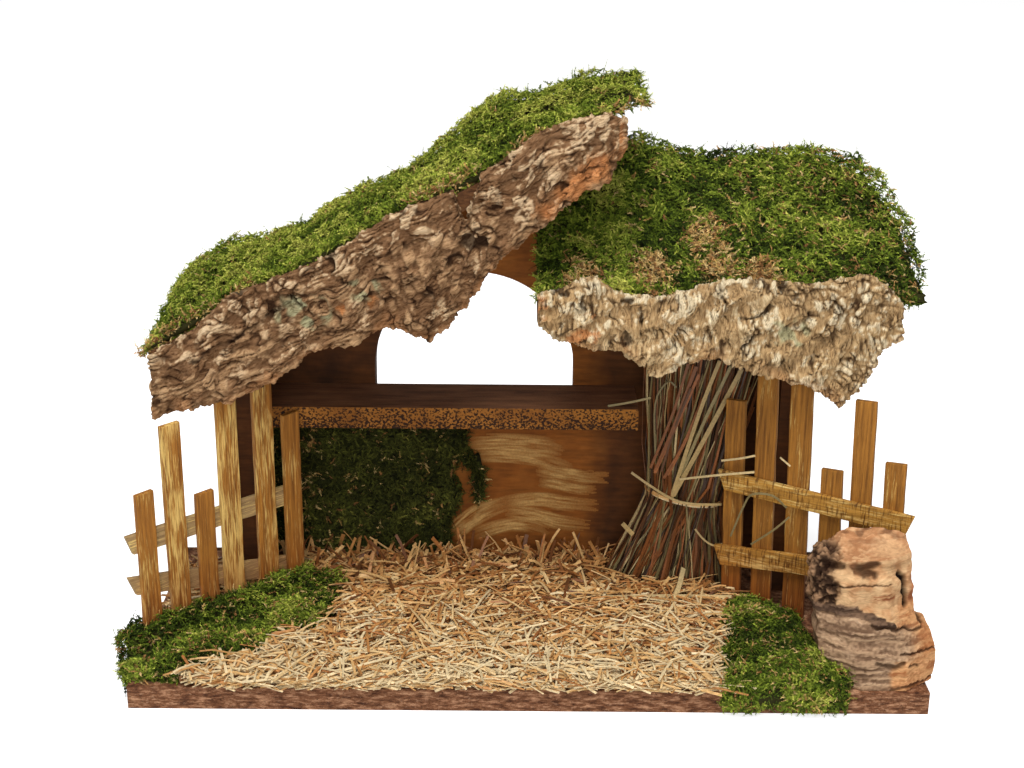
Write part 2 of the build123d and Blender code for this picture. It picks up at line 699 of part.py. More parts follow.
# Straw
def sheaf_section(x, width, depth, level, turn):
    """A fluted slice of the sheaf: one ridge for each stalk at its skin."""
    corners = []
    for step in range(2 * stalk_count):
        reach = 1 - stalk_groove_share * (step % 2)
        angle = radians(turn) + pi * step / stalk_count
        corners.append((x + reach * width / 2 * cos(angle), sheaf_y + reach * depth / 2 * sin(angle), level))
    return polygon(corners)


def straw_sheaf():
    """The sheaf: stalks that draw in to the waist and spread again, twisting a little."""
    waist = base_top + sheaf_waist_rise
    return loft([
        sheaf_section(sheaf_foot_x, sheaf_foot_width, sheaf_foot_depth, base_top, 0),
        sheaf_section(sheaf_waist_x, sheaf_waist_width, sheaf_waist_depth, waist, stalk_twist),
        sheaf_section(sheaf_top_x, sheaf_top_width, sheaf_top_depth, base_top + sheaf_height,
                      2 * stalk_twist)], ruled=True)


def sheaf_tie():
    """The twisted straw band round the waist, cut to the stalks it holds."""
    waist = base_top + sheaf_waist_rise
    band = Ellipse(sheaf_waist_width / 2 + tie_thickness, sheaf_waist_depth / 2 + tie_thickness)
    ring = Pos(sheaf_waist_x, sheaf_y, waist - tie_height / 2) * extrude(band, amount=tie_height)
    return ring - straw_sheaf()


def floor_straw(heap_plans):
    """The chopped straw between the fences, the heaps, the sheaf and the back wall."""
    front = base_front + straw_front_inset
    back = wall_front - wall_moss_thickness - soft_clearance
    west = left_wall_inside + soft_clearance
    corners = [
        (base_left + straw_left_inset, front, base_top), (base_right - straw_right_inset, front, base_top),
        (*right_fence_first, base_top), (sheaf_foot_x, sheaf_y, base_top), (sheaf_foot_x, back, base_top),
        (west, back, base_top), (west, house_front, base_top), (*left_fence_last, base_top)]
    layer = extrude(polygon(corners), amount=straw_thickness, dir=(0, 0, 1))
    for points in heap_plans:
        plan = offset(polygon([(x, y, base_top) for x, y in points]), amount=soft_clearance)
        layer = layer - extrude(plan, amount=straw_thickness + overrun, dir=(0, 0, 1))
    foot = Ellipse(sheaf_foot_width / 2 + soft_clearance, sheaf_foot_depth / 2 + soft_clearance)
    return layer - Pos(sheaf_foot_x, sheaf_y, base_top) * extrude(foot, amount=straw_thickness + overrun)


# Assembly
left_heap_plan = heap_outline(left_heap_outline_shares, base_left, left_heap_length, left_heap_depth)
right_heap_left = base_right - right_heap_inset - right_heap_length
right_heap_plan = heap_outline(right_heap_outline_shares, right_heap_left, right_heap_length, right_heap_depth)

left_pickets, left_rails = left_fence_pieces()
right_pickets, right_rails = right_fence_pieces()
left_cutters, left_rail_cutters = left_fence_pieces(soft_clearance)
right_cutters, right_rail_cutters = right_fence_pieces(soft_clearance)

left_corner_moss = heap(left_heap_plan, left_heap_height) - around_left_wall()
right_corner_moss = heap(right_heap_plan, right_heap_height) - stump(soft_clearance)
straw = floor_straw([left_heap_plan, right_heap_plan]) - stump(soft_clearance)
for cutter in left_cutters + left_rail_cutters + right_cutters + right_rail_cutters:
    left_corner_moss = left_corner_moss - cutter
    right_corner_moss = right_corner_moss - cutter
    straw = straw - cutter

left_bark = left_roof_bark()
right_bark = right_roof_bark()
for cutter in left_cutters + right_cutters:
    left_bark = left_bark - cutter
    right_bark = right_bark - cutter

pieces = {
    "base_board": base_board(),
    "back_wall": back_wall(),
    "left_side_wall": side_wall(house_left, left_wall_inside, above_left_roof(), left_roof_nail_frames()),
    "right_side_wall": side_wall(right_wall_inside, house_right, above_right_roof(), right_roof_nail_frames()),
    "loft_shelf": loft_shelf(),
    "left_roof_panel": left_roof_panel(),
    "right_roof_panel": right_roof_panel(),
    "left_roof_bark": left_bark,
    "right_roof_bark": right_bark,
    "left_roof_moss": left_roof_moss(),
    "right_roof_moss": right_roof_moss(),
    "back_wall_moss": back_wall_moss(),
    "wall_moss_tuft": wall_moss_tuft(),
    "left_corner_moss": left_corner_moss,
    "right_corner_moss": right_corner_moss,
    "bark_stump": stump(),
    "floor_straw": straw,
    "straw_sheaf": straw_sheaf(),
    "sheaf_tie": sheaf_tie(),
    "left_upper_rail": left_rails[0],
    "left_lower_rail": left_rails[1],
    "right_upper_rail": right_rails[0],
    "right_lower_rail": right_rails[1],
    "base_nails": Compound(children=[nail(frame, base_nail_length) for frame in base_nail_frames()]),
    "wall_nails": Compound(children=[nail(frame, wall_nail_length) for frame in wall_nail_frames()]),
    "roof_nails": Compound(children=[nail(frame, roof_nail_length)
                                     for frame in left_roof_nail_frames() + right_roof_nail_frames()]),
}
for number, piece in enumerate(left_pickets, start=1):
    pieces[f"left_picket_{number}"] = piece
for number, piece in enumerate(right_pickets, start=1):
    pieces[f"right_picket_{number}"] = piece

os.makedirs("parts", exist_ok=True)
for name, piece in pieces.items():
    export_step(piece, f"parts/{name}.step")
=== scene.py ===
import math
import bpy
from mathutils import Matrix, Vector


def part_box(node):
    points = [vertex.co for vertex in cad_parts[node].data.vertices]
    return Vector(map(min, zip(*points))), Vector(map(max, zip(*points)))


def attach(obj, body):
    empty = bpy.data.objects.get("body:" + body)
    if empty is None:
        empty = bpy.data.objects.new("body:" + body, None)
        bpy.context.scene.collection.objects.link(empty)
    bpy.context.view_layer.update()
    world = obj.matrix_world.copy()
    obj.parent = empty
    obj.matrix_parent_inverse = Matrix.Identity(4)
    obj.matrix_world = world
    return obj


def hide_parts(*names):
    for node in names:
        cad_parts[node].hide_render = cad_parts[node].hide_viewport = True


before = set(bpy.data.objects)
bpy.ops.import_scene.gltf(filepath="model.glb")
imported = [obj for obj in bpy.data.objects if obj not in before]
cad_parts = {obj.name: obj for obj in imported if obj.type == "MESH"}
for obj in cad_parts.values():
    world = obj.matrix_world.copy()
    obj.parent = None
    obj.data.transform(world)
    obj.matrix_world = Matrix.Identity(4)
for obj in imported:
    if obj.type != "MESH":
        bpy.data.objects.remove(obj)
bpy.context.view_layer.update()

from types import SimpleNamespace

import bmesh
import bpy
import numpy as np
from mathutils import Matrix, Vector, noise

# The looks of a wooden crib-scene stable, in metres, in the CAD part's own frame.
# -Y is the open front and +Z is up. Colours are written as they are seen, from 0 to 255.

up = np.array([0.0, 0.0, 1.0])
floor_gap = 0.0006   # nothing soft hangs lower than this


# Helpers for numbers and colours
def linear(seen):
    """Colours as seen on a screen as the linear values that shaders take."""
    share = np.asarray(seen, float) / 255
    return np.where(share <= 0.04045, share / 12.92, ((share + 0.055) / 1.055) ** 2.4)


def rgba(seen):
    """One seen colour as a shader socket takes it."""
    return (*linear(seen), 1.0)


def unit(vectors):
    """The vectors at length one."""
    return vectors / np.maximum(np.linalg.norm(vectors, axis=-1, keepdims=True), 1e-12)


def ease(start, end, values):
    """0 before start, 1 after end and a smooth rise between them; also falls if end is lower."""
    share = np.clip((np.asarray(values) - start) / (end - start), 0, 1)
    return share * share * (3 - 2 * share)


def blend(first, second, share):
    """Colours between two others, one for each share."""
    return first + (second - first) * np.asarray(share)[..., None]


def shades(dark, light, share):
    """Colours from a dark seen one to a light one, one for each share."""
    return blend(linear(dark), linear(light), share)


def paint(colours, seen, share):
    """Colours with a seen one laid over them, by a share for each."""
    return blend(colours, linear(seen), share)


def noise_at(points, grain, shift=0.0):
    """Smooth noise, about -1 to 1, at each point; grain is the size of its lumps."""
    return np.array([noise.noise(Vector(p)) for p in points / np.asarray(grain) + shift])


def cells_at(points, grain, shift=0.0):
    """Random cells: 0 on their borders, growing inwards, and a random mark from 0 to 1 for each cell."""
    found = [noise.voronoi(Vector(p)) for p in points / np.asarray(grain) + shift]
    inward = np.array([near[1] - near[0] for near, centres in found])
    marks = np.array([noise.cell(centres[0] * 9.7) for near, centres in found])
    return inward, marks


# Helpers for meshes
def add_piece(name, points, faces, finish, nodes, tints=None, cells=None, smooth=False):
    """A mesh piece that rides on the part and stands for CAD nodes; its faces are an array or a list."""
    mesh = bpy.data.meshes.new(name)
    mesh.from_pydata(points.tolist(), [], faces if isinstance(faces, list) else faces.tolist())
    if tints is not None:
        layer = mesh.color_attributes.new("tint", "FLOAT_COLOR", "POINT")
        layer.data.foreach_set("color", np.column_stack([tints, np.ones(len(tints))]).ravel())
    if cells is not None:
        corners = np.empty(len(mesh.loops), int)
        mesh.loops.foreach_get("vertex_index", corners)
        mesh.uv_layers.new(name="OFBake").data.foreach_set("uv", cells[corners].ravel())
    mesh.polygons.foreach_set("use_smooth", np.full(len(mesh.polygons), smooth))
    mesh.materials.append(finish)
    piece = bpy.data.objects.new(name, mesh)
    bpy.context.collection.objects.link(piece)
    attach(piece, "root")
    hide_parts(*nodes)


def dense_copy(node, voxel, softened=0):
    """Points, faces and outward directions of a CAD node's skin, meshed evenly and softened a little."""
    copy = bpy.data.objects.new(node + "_dense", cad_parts[node].data.copy())
    bpy.context.collection.objects.link(copy)
    even = copy.modifiers.new("even", "REMESH")
    even.mode = "VOXEL"
    even.voxel_size = voxel
    soften = copy.modifiers.new("soften", "SMOOTH")
    soften.iterations = softened
    mesh = bpy.data.meshes.new_from_object(copy.evaluated_get(bpy.context.evaluated_depsgraph_get()))
    points = np.array([vertex.co for vertex in mesh.vertices])
    outward = np.array([vertex.normal for vertex in mesh.vertices])
    faces = [list(face.vertices) for face in mesh.polygons]
    bpy.data.objects.remove(copy)
    bpy.data.meshes.remove(mesh)
    return points, faces, outward


def scatter(node, count, rng, wanted):
    """Random points on a CAD node's skin and its direction there; wanted weighs a direction."""
    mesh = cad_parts[node].data
    mesh.calc_loop_triangles()
    corners = np.array([[mesh.vertices[i].co for i in face.vertices] for face in mesh.loop_triangles])
    first = corners[:, 1] - corners[:, 0]
    second = corners[:, 2] - corners[:, 0]
    cross = np.cross(first, second)
    weights = np.linalg.norm(cross, axis=1) * wanted(unit(cross))
    picks = rng.choice(len(weights), count, p=weights / weights.sum())
    shares = rng.random((2, count))
    shares = np.where(shares.sum(0) > 1, 1 - shares, shares)
    points = corners[picks, 0] + first[picks] * shares[0][:, None] + second[picks] * shares[1][:, None]
    return points, unit(cross)[picks]


tube_sides = 4   # corners of a stalk's section


def tubes(paths, side, width, thickness):
    """Closed tubes along paths (count, rings, 3), with a section of that width along side."""
    count, rings = paths.shape[:2]
    heading = unit(np.gradient(paths, axis=1))
    upward = unit(np.cross(heading, side[:, None, :]))
    across = np.cross(upward, heading)
    ring = np.arange(tube_sides)
    angles = 2 * np.pi * (ring + 0.5) / tube_sides
    reach = 0.5 / math.cos(math.pi / tube_sides)
    points = (paths[:, :, None, :]
              + across[:, :, None, :] * (reach * np.cos(angles))[:, None] * width[..., None, None]
              + upward[:, :, None, :] * (reach * np.sin(angles))[:, None] * thickness[..., None, None])
    following = (ring + 1) % tube_sides
    start = np.arange(rings - 1)[:, None] * tube_sides
    after = start + tube_sides
    walls = np.stack([start + ring, start + following, after + following, after + ring], -1).reshape(-1, 4)
    ends = np.array([ring[::-1], ring + (rings - 1) * tube_sides])
    firsts = np.arange(count)[:, None, None] * rings * tube_sides
    return points.reshape(-1, 3), (np.concatenate([walls, ends]) + firsts).reshape(-1, 4)


def palette_cells(columns, rows, column, row, u, v):
    """Places in a grid of palette cells, kept a little inside each cell."""
    inset = 0.12
    return np.stack([(column + inset + (1 - 2 * inset) * u) / columns,
                     (row + inset + (1 - 2 * inset) * v) / rows], -1)


def stalk_piece(name, paths, side, width, thickness, tints, kinds, finish, nodes):
    """Many stalks as one piece; each takes the tint of its kind, a little darker at its root."""
    count, rings = paths.shape[:2]
    shape = (count, rings, tube_sides)
    points, faces = tubes(paths, side, width, thickness)
    along = np.broadcast_to(np.linspace(0, 1, rings)[None, :, None], shape)
    around = np.broadcast_to(np.array([0.0, 0.33, 0.67, 1.0])[None, None, :], shape)
    kind = np.broadcast_to(kinds[:, None, None], shape)
    colours = tints[kind] * (0.82 + 0.28 * along)[..., None]
    cells = palette_cells(len(tints), 1, kind, 0, around, along)
    add_piece(name, points, faces, finish, nodes, colours.reshape(-1, 3), cells.reshape(-1, 2))


# Materials
white = (255, 255, 255)
no_turn = (0.0, 0.0, 0.0)


class Finish:
    """A procedural material in the making, with short ways to add its nodes."""

    def __init__(self, name, roughness, specular=0.25):
        self.material = bpy.data.materials.new(name)
        self.material.use_nodes = True
        self.tree = self.material.node_tree
        self.shader = self.tree.nodes["Principled BSDF"]
        self.shader.inputs["Roughness"].default_value = roughness
        self.shader.inputs["Specular IOR Level"].default_value = specular

    def add(self, kind, **sockets):
        """A node of a kind; a socket's value is a constant or another node's output."""
        made = self.tree.nodes.new(kind)
        for name, value in sockets.items():
            self.feed(made.inputs[name], value)
        return made

    def feed(self, socket, value):
        """Links an output to a socket, or sets a constant there."""
        if isinstance(value, bpy.types.NodeSocket):
            self.tree.links.new(value, socket)
        else:
            socket.default_value = value

    def place(self, grain=(1.0, 1.0, 1.0), shift=0.0, turn=no_turn):
        """The part's own coordinates, turned back by turn and measured in grains of that size."""
        source = self.add("ShaderNodeTexCoord").outputs["Object"]
        mapped = self.add("ShaderNodeMapping", Vector=source, Scale=grain, Rotation=turn,
                          Location=(shift, shift, shift))
        mapped.vector_type = "TEXTURE"
        return mapped.outputs["Vector"]

    def noise(self, vector, detail=6.0, roughness=0.6):
        """Noise of unit grain over a vector."""
        made = self.add("ShaderNodeTexNoise", Vector=vector, Scale=1.0, Detail=detail, Roughness=roughness)
        return made.outputs["Fac"]

    def axis(self, vector, letter):
        """One part of a vector."""
        return self.add("ShaderNodeSeparateXYZ", Vector=vector).outputs[letter]

    def join(self, operation, first, second):
        """Two values joined by a math operation."""
        made = self.add("ShaderNodeMath")
        made.operation = operation
        self.feed(made.inputs[0], first)
        self.feed(made.inputs[1], second)
        return made.outputs[0]

    def tint(self):
        """The mesh's own colour."""
        made = self.add("ShaderNodeAttribute")
        made.attribute_name = "tint"
        return made.outputs["Color"]

    def bent(self, turn, grain, reach):
        """The part's own coordinates, turned back by turn and pushed about by noise of one grain."""
        drift = self.add("ShaderNodeTexNoise", Vector=self.place((grain,) * 3, 1.3), Scale=1.0, Detail=2.0)
        made = self.add("ShaderNodeVectorMath")
        made.operation = "MULTIPLY_ADD"
        straight = self.place(turn=turn)
        for socket, value in zip(made.inputs, (drift.outputs["Color"], (reach,) * 3, straight)):
            self.feed(socket, value)
        return made.outputs["Vector"]

    def in_grains(self, vector, grain):
        """A vector measured in grains of that size."""
        mapped = self.add("ShaderNodeMapping", Vector=vector, Scale=grain)
        mapped.vector_type = "TEXTURE"
        return mapped.outputs["Vector"]

    def ramp(self, factor, stops):
        """Seen colours spread over a factor."""
        made = self.add("ShaderNodeValToRGB", Fac=factor)
        elements = made.color_ramp.elements
        while len(elements) < len(stops):
            elements.new(0.5)
        for element, (place, colour) in zip(elements, stops):
            element.position = place
            element.color = rgba(colour)
        return made.outputs["Color"]

    def level(self, value, low, high, bottom=0.0, top=1.0):
        """A value stretched so that low becomes bottom and high becomes top."""
        made = self.add("ShaderNodeMapRange", Value=value)
        for name, limit in (("From Min", low), ("From Max", high), ("To Min", bottom), ("To Max", top)):
            self.feed(made.inputs[name], limit)
        return made.outputs["Result"]

    def shaded(self, colour, shade):
        """A colour multiplied by a shade."""
        return self.mix(1.0, colour, shade, "MULTIPLY")

    def mix(self, factor, first, second, blend_type="MIX"):
        """Two colours mixed by a factor."""
        made = self.tree.nodes.new("ShaderNodeMix")
        made.data_type = "RGBA"
        made.blend_type = blend_type
        for name, value in (("Factor_Float", factor), ("A_Color", first), ("B_Color", second)):
            socket = next(s for s in made.inputs if s.identifier == name)
            self.feed(socket, value)
        return next(s for s in made.outputs if s.identifier == "Result_Color")

    def finish(self, colour, height=None, depth=0.0, strength=1.0):
        """Sets the colour, and bumps of a depth in metres."""
        self.feed(self.shader.inputs["Base Color"], colour)
        if height is not None:
            bump = self.add("ShaderNodeBump", Height=height, Distance=depth, Strength=strength)
            self.feed(self.shader.inputs["Normal"], bump.outputs["Normal"])
        return self.material


def tinted(name, roughness, specular, grain, contrast, depth):
    """A material that takes its colour from the mesh, with fine mottling and bumps of one grain."""
    finish = Finish(name, roughness, specular)
    mottle = finish.noise(finish.place((grain,) * 3), detail=4.0)
    shade = finish.ramp(mottle, [(0.25, (255 - contrast,) * 3), (0.75, white)])
    return finish.finish(finish.shaded(finish.tint(), shade), mottle, depth)


def stained_wood(name, stain, brush, along, brushed, shift=0.0, turn=no_turn, ticks=None):
    """Stained wood: streaked along its grain, brushed in patches, redder at the foot, ticked if asked."""
    dark, light = stain
    finish = Finish(name, 0.72)

    def drawn(length, breadth, further, detail, roughness=0.6):
        """Noise drawn out along the grain."""
        grain = np.where(along, length, breadth)
        return finish.noise(finish.place(grain, shift + further, turn), detail, roughness)

    streaks = drawn(0.050, 0.0016, 0.0, 8.0, 0.75)
    colour = finish.ramp(streaks, [(0.34, dark), (0.64, light)])
    fibres = drawn(0.014, 0.0007, 3.7, 5.0, 0.7)
    patches = drawn(0.034, 0.009, 8.1, 3.0)
    worn = finish.level(finish.mix(0.45, fibres, patches), 0.62 - brushed, 0.72 - brushed)
    colour = finish.mix(worn, colour, rgba(brush))
    height = finish.axis(finish.place(), "Z")
    red = finish.ramp(finish.level(height, 0.015, 0.055), [(0.0, (214, 168, 148)), (1.0, white)])
    colour = finish.shaded(colour, red)
    if ticks is not None:
        marks = finish.noise(finish.place(ticks, shift + 5.3, turn), detail=4.0)
        shade = finish.ramp(marks, [(0.36, (150, 130, 112)), (0.50, white)])
        colour = finish.shaded(colour, shade)
    return finish.finish(colour, fibres, 0.0005)


def chipboard(name, tones, speck, pale, grain):
    """Stained chipboard: rough and streaky, with dark and pale chips."""
    finish = Finish(name, 0.85)
    rough = finish.noise(finish.place((0.008, 0.008, 0.0022)), detail=8.0, roughness=0.75)
    colour = finish.ramp(rough, list(zip((0.38, 0.50, 0.64), tones)))
    chips = finish.noise(finish.place((grain,) * 3, 0.5), detail=3.0, roughness=0.75)
    colour = finish.mix(finish.level(chips, 0.60, 0.70), colour, rgba(speck))
    flakes = finish.noise(finish.place((grain * 2.4, grain * 2.4, grain), 7.5), detail=4.0, roughness=0.7)
    colour = finish.mix(finish.level(flakes, 0.58, 0.76, 0.0, 0.7), colour, rgba(pale))
    return finish.finish(colour, rough, 0.0012)


def shelf_board(name):
    """The shelf: dark stain on its top, and ochre raw edges with more black chips towards the bottom."""
    finish = Finish(name, 0.85)
    low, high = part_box("loft_shelf")
    mottle = finish.noise(finish.place((0.02, 0.02, 0.02)))
    edge = finish.ramp(mottle, [(0.3, (122, 72, 25)), (0.7, (172, 112, 45))])
    chips = finish.noise(finish.place((0.0014, 0.0013, 0.0012), 0.2), detail=3.0, roughness=0.65)
    cut = finish.level(finish.axis(finish.place(), "Z"), low.z, high.z, 0.45, 0.53)
    pepper = finish.level(finish.join("SUBTRACT", chips, cut), -0.02, 0.05)
    edge = finish.mix(pepper, edge, rgba((44, 25, 12)))
    streaks = finish.noise(finish.place((0.025, 0.0045, 0.0045)))
    top = finish.ramp(streaks, [(0.3, (98, 62, 40)), (0.7, (150, 102, 68))])
    facing = finish.add("ShaderNodeNewGeometry").outputs["Normal"]
    upward = finish.level(finish.axis(facing, "Z"), 0.4, 0.8)
    return finish.finish(finish.mix(upward, edge, top), chips, 0.0006)


def wall_paint(name):
    """The walls: dark brown, and ochre in an upright band beside the moss."""
    finish = Finish(name, 0.8)
    patches = finish.noise(finish.place((0.030, 0.030, 0.030)), detail=5.0)
    dark = finish.ramp(patches, [(0.3, (66, 36, 14)), (0.55, (96, 54, 20)), (0.75, (116, 68, 28))])
    ochre = finish.ramp(patches, [(0.3, (120, 66, 20)), (0.55, (152, 88, 30)), (0.75, (170, 104, 42))])
    across = finish.axis(finish.bent(no_turn, 0.02, 0.012), "X")
    # Darker towards both ends of the wall, ochre between.
    left_end = finish.level(across, -0.052, -0.042)
    right_end = finish.level(across, 0.052, 0.038)
    ochre_banded = finish.mix(finish.join("MULTIPLY", left_end, right_end), dark, ochre)
    wipes = finish.noise(finish.place((0.016, 0.016, 0.0024), 0.4))
    shade = finish.ramp(wipes, [(0.3, (196, 196, 196)), (0.7, white)])
    return finish.finish(finish.shaded(ochre_banded, shade), wipes, 0.0003)


def nail_steel(name):
    """Plain steel wire with a faint drawn grain."""
    finish = Finish(name, 0.42, 0.5)
    finish.shader.inputs["Metallic"].default_value = 1.0
    grain = finish.noise(finish.place((0.0011, 0.0011, 0.0011)))
    return finish.finish(finish.ramp(grain, [(0.3, (120, 118, 114)), (0.7, (168, 166, 162))]), grain, 0.0001)


# Camera, light and floor
full_white = (1.0, 1.0, 1.0, 1.0)
camera_place = (-0.0093, -0.794, 0.434)
camera_tilt = math.radians(70.0)   # 20 degrees below level
camera_roll = math.radians(0.45)
camera_lens = 57.6
camera_sensor = 36.0


def add_camera():
    """The photograph's view."""
    camera = bpy.data.objects.new("camera", bpy.data.cameras.new("camera"))
    camera.data.lens = camera_lens
    camera.data.sensor_width = camera_sensor
    camera.data.clip_start = 0.01
    camera.matrix_world = (Matrix.Translation(camera_place) @ Matrix.Rotation(camera_tilt, 4, "X")
                           @ Matrix.Rotation(camera_roll, 4, "Z"))
    bpy.context.collection.objects.link(camera)
    bpy.context.scene.camera = camera


def add_area_light(name, place, target, size, watts):
    """A large soft lamp aimed at a point."""
    lamp = bpy.data.lights.new(name, "AREA")
    lamp.shape = "DISK"
    lamp.size = size
    lamp.energy = watts
    light = bpy.data.objects.new(name, lamp)
    light.location = place
    light.rotation_euler = (Vector(target) - Vector(place)).to_track_quat("-Z", "Y").to_euler()
    bpy.context.collection.objects.link(light)


def add_world(strength):
    """Even white light from all round, and a plain white backdrop."""
    world = bpy.data.worlds.new("studio")
    world.use_nodes = True
    tree = world.node_tree
    light = tree.nodes["Background"]
    light.inputs["Color"].default_value = full_white
    light.inputs["Strength"].default_value = strength
    seen = tree.nodes.new("ShaderNodeBackground")
    seen.inputs["Color"].default_value = full_white
    join = tree.nodes.new("ShaderNodeMixShader")
    tree.links.new(tree.nodes.new("ShaderNodeLightPath").outputs["Is Camera Ray"], join.inputs[0])
    tree.links.new(light.outputs["Background"], join.inputs[1])
    tree.links.new(seen.outputs["Background"], join.inputs[2])
    tree.links.new(join.outputs["Shader"], tree.nodes["World Output"].inputs["Surface"])
    bpy.context.scene.world = world


def add_floor(span, glow):
    """A white floor that keeps the shadow; its glow, seen by the camera and in gloss, lifts it to white."""
    half = span / 2
    corners = [(-half, -half, 0), (half, -half, 0), (half, half, 0), (-half, half, 0)]
    mesh = bpy.data.meshes.new("floor")
    mesh.from_pydata(corners, [], [(0, 1, 2, 3)])
    finish = Finish("floor_white", 0.9, 0.0)
    finish.shader.inputs["Emission Color"].default_value = full_white
    rays = finish.add("ShaderNodeLightPath").outputs
    seen = finish.join("MAXIMUM", rays["Is Camera Ray"], rays["Is Glossy Ray"])
    finish.feed(finish.shader.inputs["Emission Strength"], finish.join("MULTIPLY", seen, glow))
    mesh.materials.append(finish.finish((0.85, 0.85, 0.85, 1.0)))
    floor = bpy.data.objects.new("floor", mesh)
    bpy.context.collection.objects.link(floor)


# Moss
leaf_count = 20
shade_count = 12
shade_ramp = np.linspace(0.30, 1.34, shade_count)
lump_height = 0.0045
lump_grain = 0.016
leaf_length = 0.0011
frond_length = 0.0046
tuft_frond_length = 0.0055
browns = [(222, 184, 112), (240, 206, 138), (206, 158, 94), (166, 116, 70)]
roof_greens = [
    (42, 54, 15), (56, 72, 20), (74, 92, 25), (94, 114, 32), (116, 136, 41), (140, 158, 52), (164, 180, 64),
    (190, 198, 80), (216, 216, 100)]
roof_shares = np.full(len(roof_greens), 1 / len(roof_greens))
wall_greens = [(51, 55, 22), (67, 70, 27), (85, 88, 35), (106, 109, 45), (135, 134, 60)]
wall_shares = np.array([0.24, 0.28, 0.24, 0.16, 0.08])


def moss_sprigs(roots, outward, rng, length):
    """Curly fronds lying over each other, with short leaflets on both sides: (fronds, leaflets, 3, 3)."""
    count = len(roots)
    stray = rng.random((count, 1)) < 0.10
    lift = np.where(stray, rng.uniform(0.8, 2.0, (count, 1)), rng.uniform(0.1, 1.0, (count, 1)))
    stem = unit(unit(np.cross(outward, rng.normal(size=(count, 3)))) + outward * lift)
    side = unit(np.cross(stem, outward + rng.normal(0, 0.25, (count, 3))))
    curl = unit(side * rng.normal(0, 0.8, (count, 1)) - outward * rng.uniform(0.0, 0.9, (count, 1)))
    bend = rng.uniform(0.3, 1.6, (count, 1))
    reach = length * rng.uniform(0.5, 1.2, (count, 1)) * np.where(stray, 1.25, 1.0)
    leaves = []
    for index in range(leaf_count):
        place = (index + 1) / leaf_count
        foot = roots + (stem * place + curl * bend * 0.7 * place ** 2) * reach
        heading = unit(stem + curl * bend * 1.4 * place)
        hand = 1.0 if index % 2 else -1.0
        aim = unit(side * hand + heading * 0.8 + outward * 0.3 + rng.normal(0, 0.35, (count, 3)))
        size = leaf_length * (1.2 - 0.6 * place) * rng.uniform(0.7, 1.3, (count, 1))
        breadth = unit(np.cross(aim, outward + rng.normal(0, 0.5, (count, 3)))) * size * 0.28
        leaves.append(np.stack([foot - breadth, foot + breadth, foot + aim * size], 1))
    return np.stack(leaves, 1)


def moss_piece(name, node, leaves, kinds, greens, rng, finish):
    """Fronds as one piece: a frond's kind picks its colour, and its leaflets lighten towards the tip."""
    shape = leaves.shape[:-1]
    kind = np.broadcast_to(kinds[:, None, None], shape)
    steps = np.linspace(1.5, 10.0, leaf_count) + rng.normal(0, 1.6, shape[:2])
    step = np.broadcast_to(np.clip(steps, 0, shade_count - 1).astype(int)[..., None], shape)
    tints = greens[kind] * shade_ramp[step][..., None]
    u = np.broadcast_to(np.array([0.0, 1.0, 0.5]), shape)
    v = np.broadcast_to(np.array([0.0, 0.0, 1.0]), shape)
    cells = palette_cells(len(greens), shade_count, kind, step, u, v)
    faces = np.arange(leaves.size // 3).reshape(-1, 3)
    add_piece(name, leaves.reshape(-1, 3), faces, finish, [node],
              tints.reshape(-1, 3), cells.reshape(-1, 2))


def pick_kinds(rng, shares, shift, dry):
    """A kind for each frond: greens from dark to light, moved by shift, or with a chance of dry a brown."""
    steps = np.cumsum(shares) / shares.sum()
    draw = np.clip(0.45 + 0.5 * (rng.random(len(shift)) - 0.5) + shift, 0, 0.999)
    brown = len(shares) + rng.integers(0, len(browns), len(shift))
    return np.where(rng.random(len(shift)) < dry, brown, np.searchsorted(steps, draw))


def moss_bed(name, node, seed, wanted, colour, push, finish):
    """The lumpy bed under a mat's fronds, with its rims drawn in; its dark colour is painted shade deep
    between the fronds.
    """
    points, faces, outward = dense_copy(node, voxel=0.0025, softened=12)
    main = unit((outward * wanted(outward)[:, None]).sum(0))
    top = ease(0.3, 0.7, outward @ main)[:, None]
    sink = np.minimum(0.0042 - lump_height * noise_at(points, lump_grain, seed), 0.0050)[:, None]
    points = points + (push(points) - outward * sink) * top
    tints = linear(colour) * (1 + 0.35 * noise_at(points, 0.003))[:, None]
    add_piece(name, points, faces, finish, [node], tints, smooth=True)


def moss(seed, finish, node, counts, wanted, palette, tone, push, length=frond_length):
    """A moss mat: its bed, and pieces of so many fronds each, in tufts on soft lumps."""
    greens, shares, bed = palette
    tints = linear(greens + browns)
    moss_bed(node + "_bed", node, seed, wanted, bed, push, finish)
    for part, count in enumerate(counts, start=1):
        rng = np.random.default_rng(seed * 10 + part)
        roots, outward = scatter(node, count, rng, wanted)
        lumps = noise_at(roots, lump_grain, seed)
        tufts = noise_at(roots, 0.0055, seed + 2.0)
        sink = 0.0014 - lump_height * lumps - 0.0030 * tufts + rng.uniform(0.0, 0.0012, count)
        sink = np.minimum(sink, 0.0028)
        leaves = moss_sprigs(roots - outward * sink[:, None] + push(roots), outward, rng, length)
        leaves[..., 2] = np.maximum(leaves[..., 2], floor_gap)
        shift, dry = tone(roots)
        # Darker greens in the troughs between lumps and tufts and lighter ones on their tops: painted shade
        # and painted light; the broad noise is random tone.
        shift = shift + noise_at(roots, 0.028, seed + 9.0) * 0.30 + lumps * 0.30 + tufts * 0.45
        dry = dry + 0.015 + 0.20 * ease(0.15, 0.45, noise_at(roots, 0.008, seed + 4.0))
        kinds = pick_kinds(rng, shares, shift, dry)
        moss_piece(f"{node}_fronds_{part}", node, leaves, kinds, tints, rng, finish)


def facing_up(normals):
    """Weighs faces that look up or sideways, and most of all the front edge, where moss hangs over."""
    return np.clip(normals[:, 2] + 0.35, 0.0, 1.0) + np.where(normals[:, 1] < -0.6, 1.2, 0.0)


def facing_out(normals):
    """Weighs every face but those turned to the back wall."""
    return np.where(normals[:, 1] > 0.5, 0.0, 1.0)


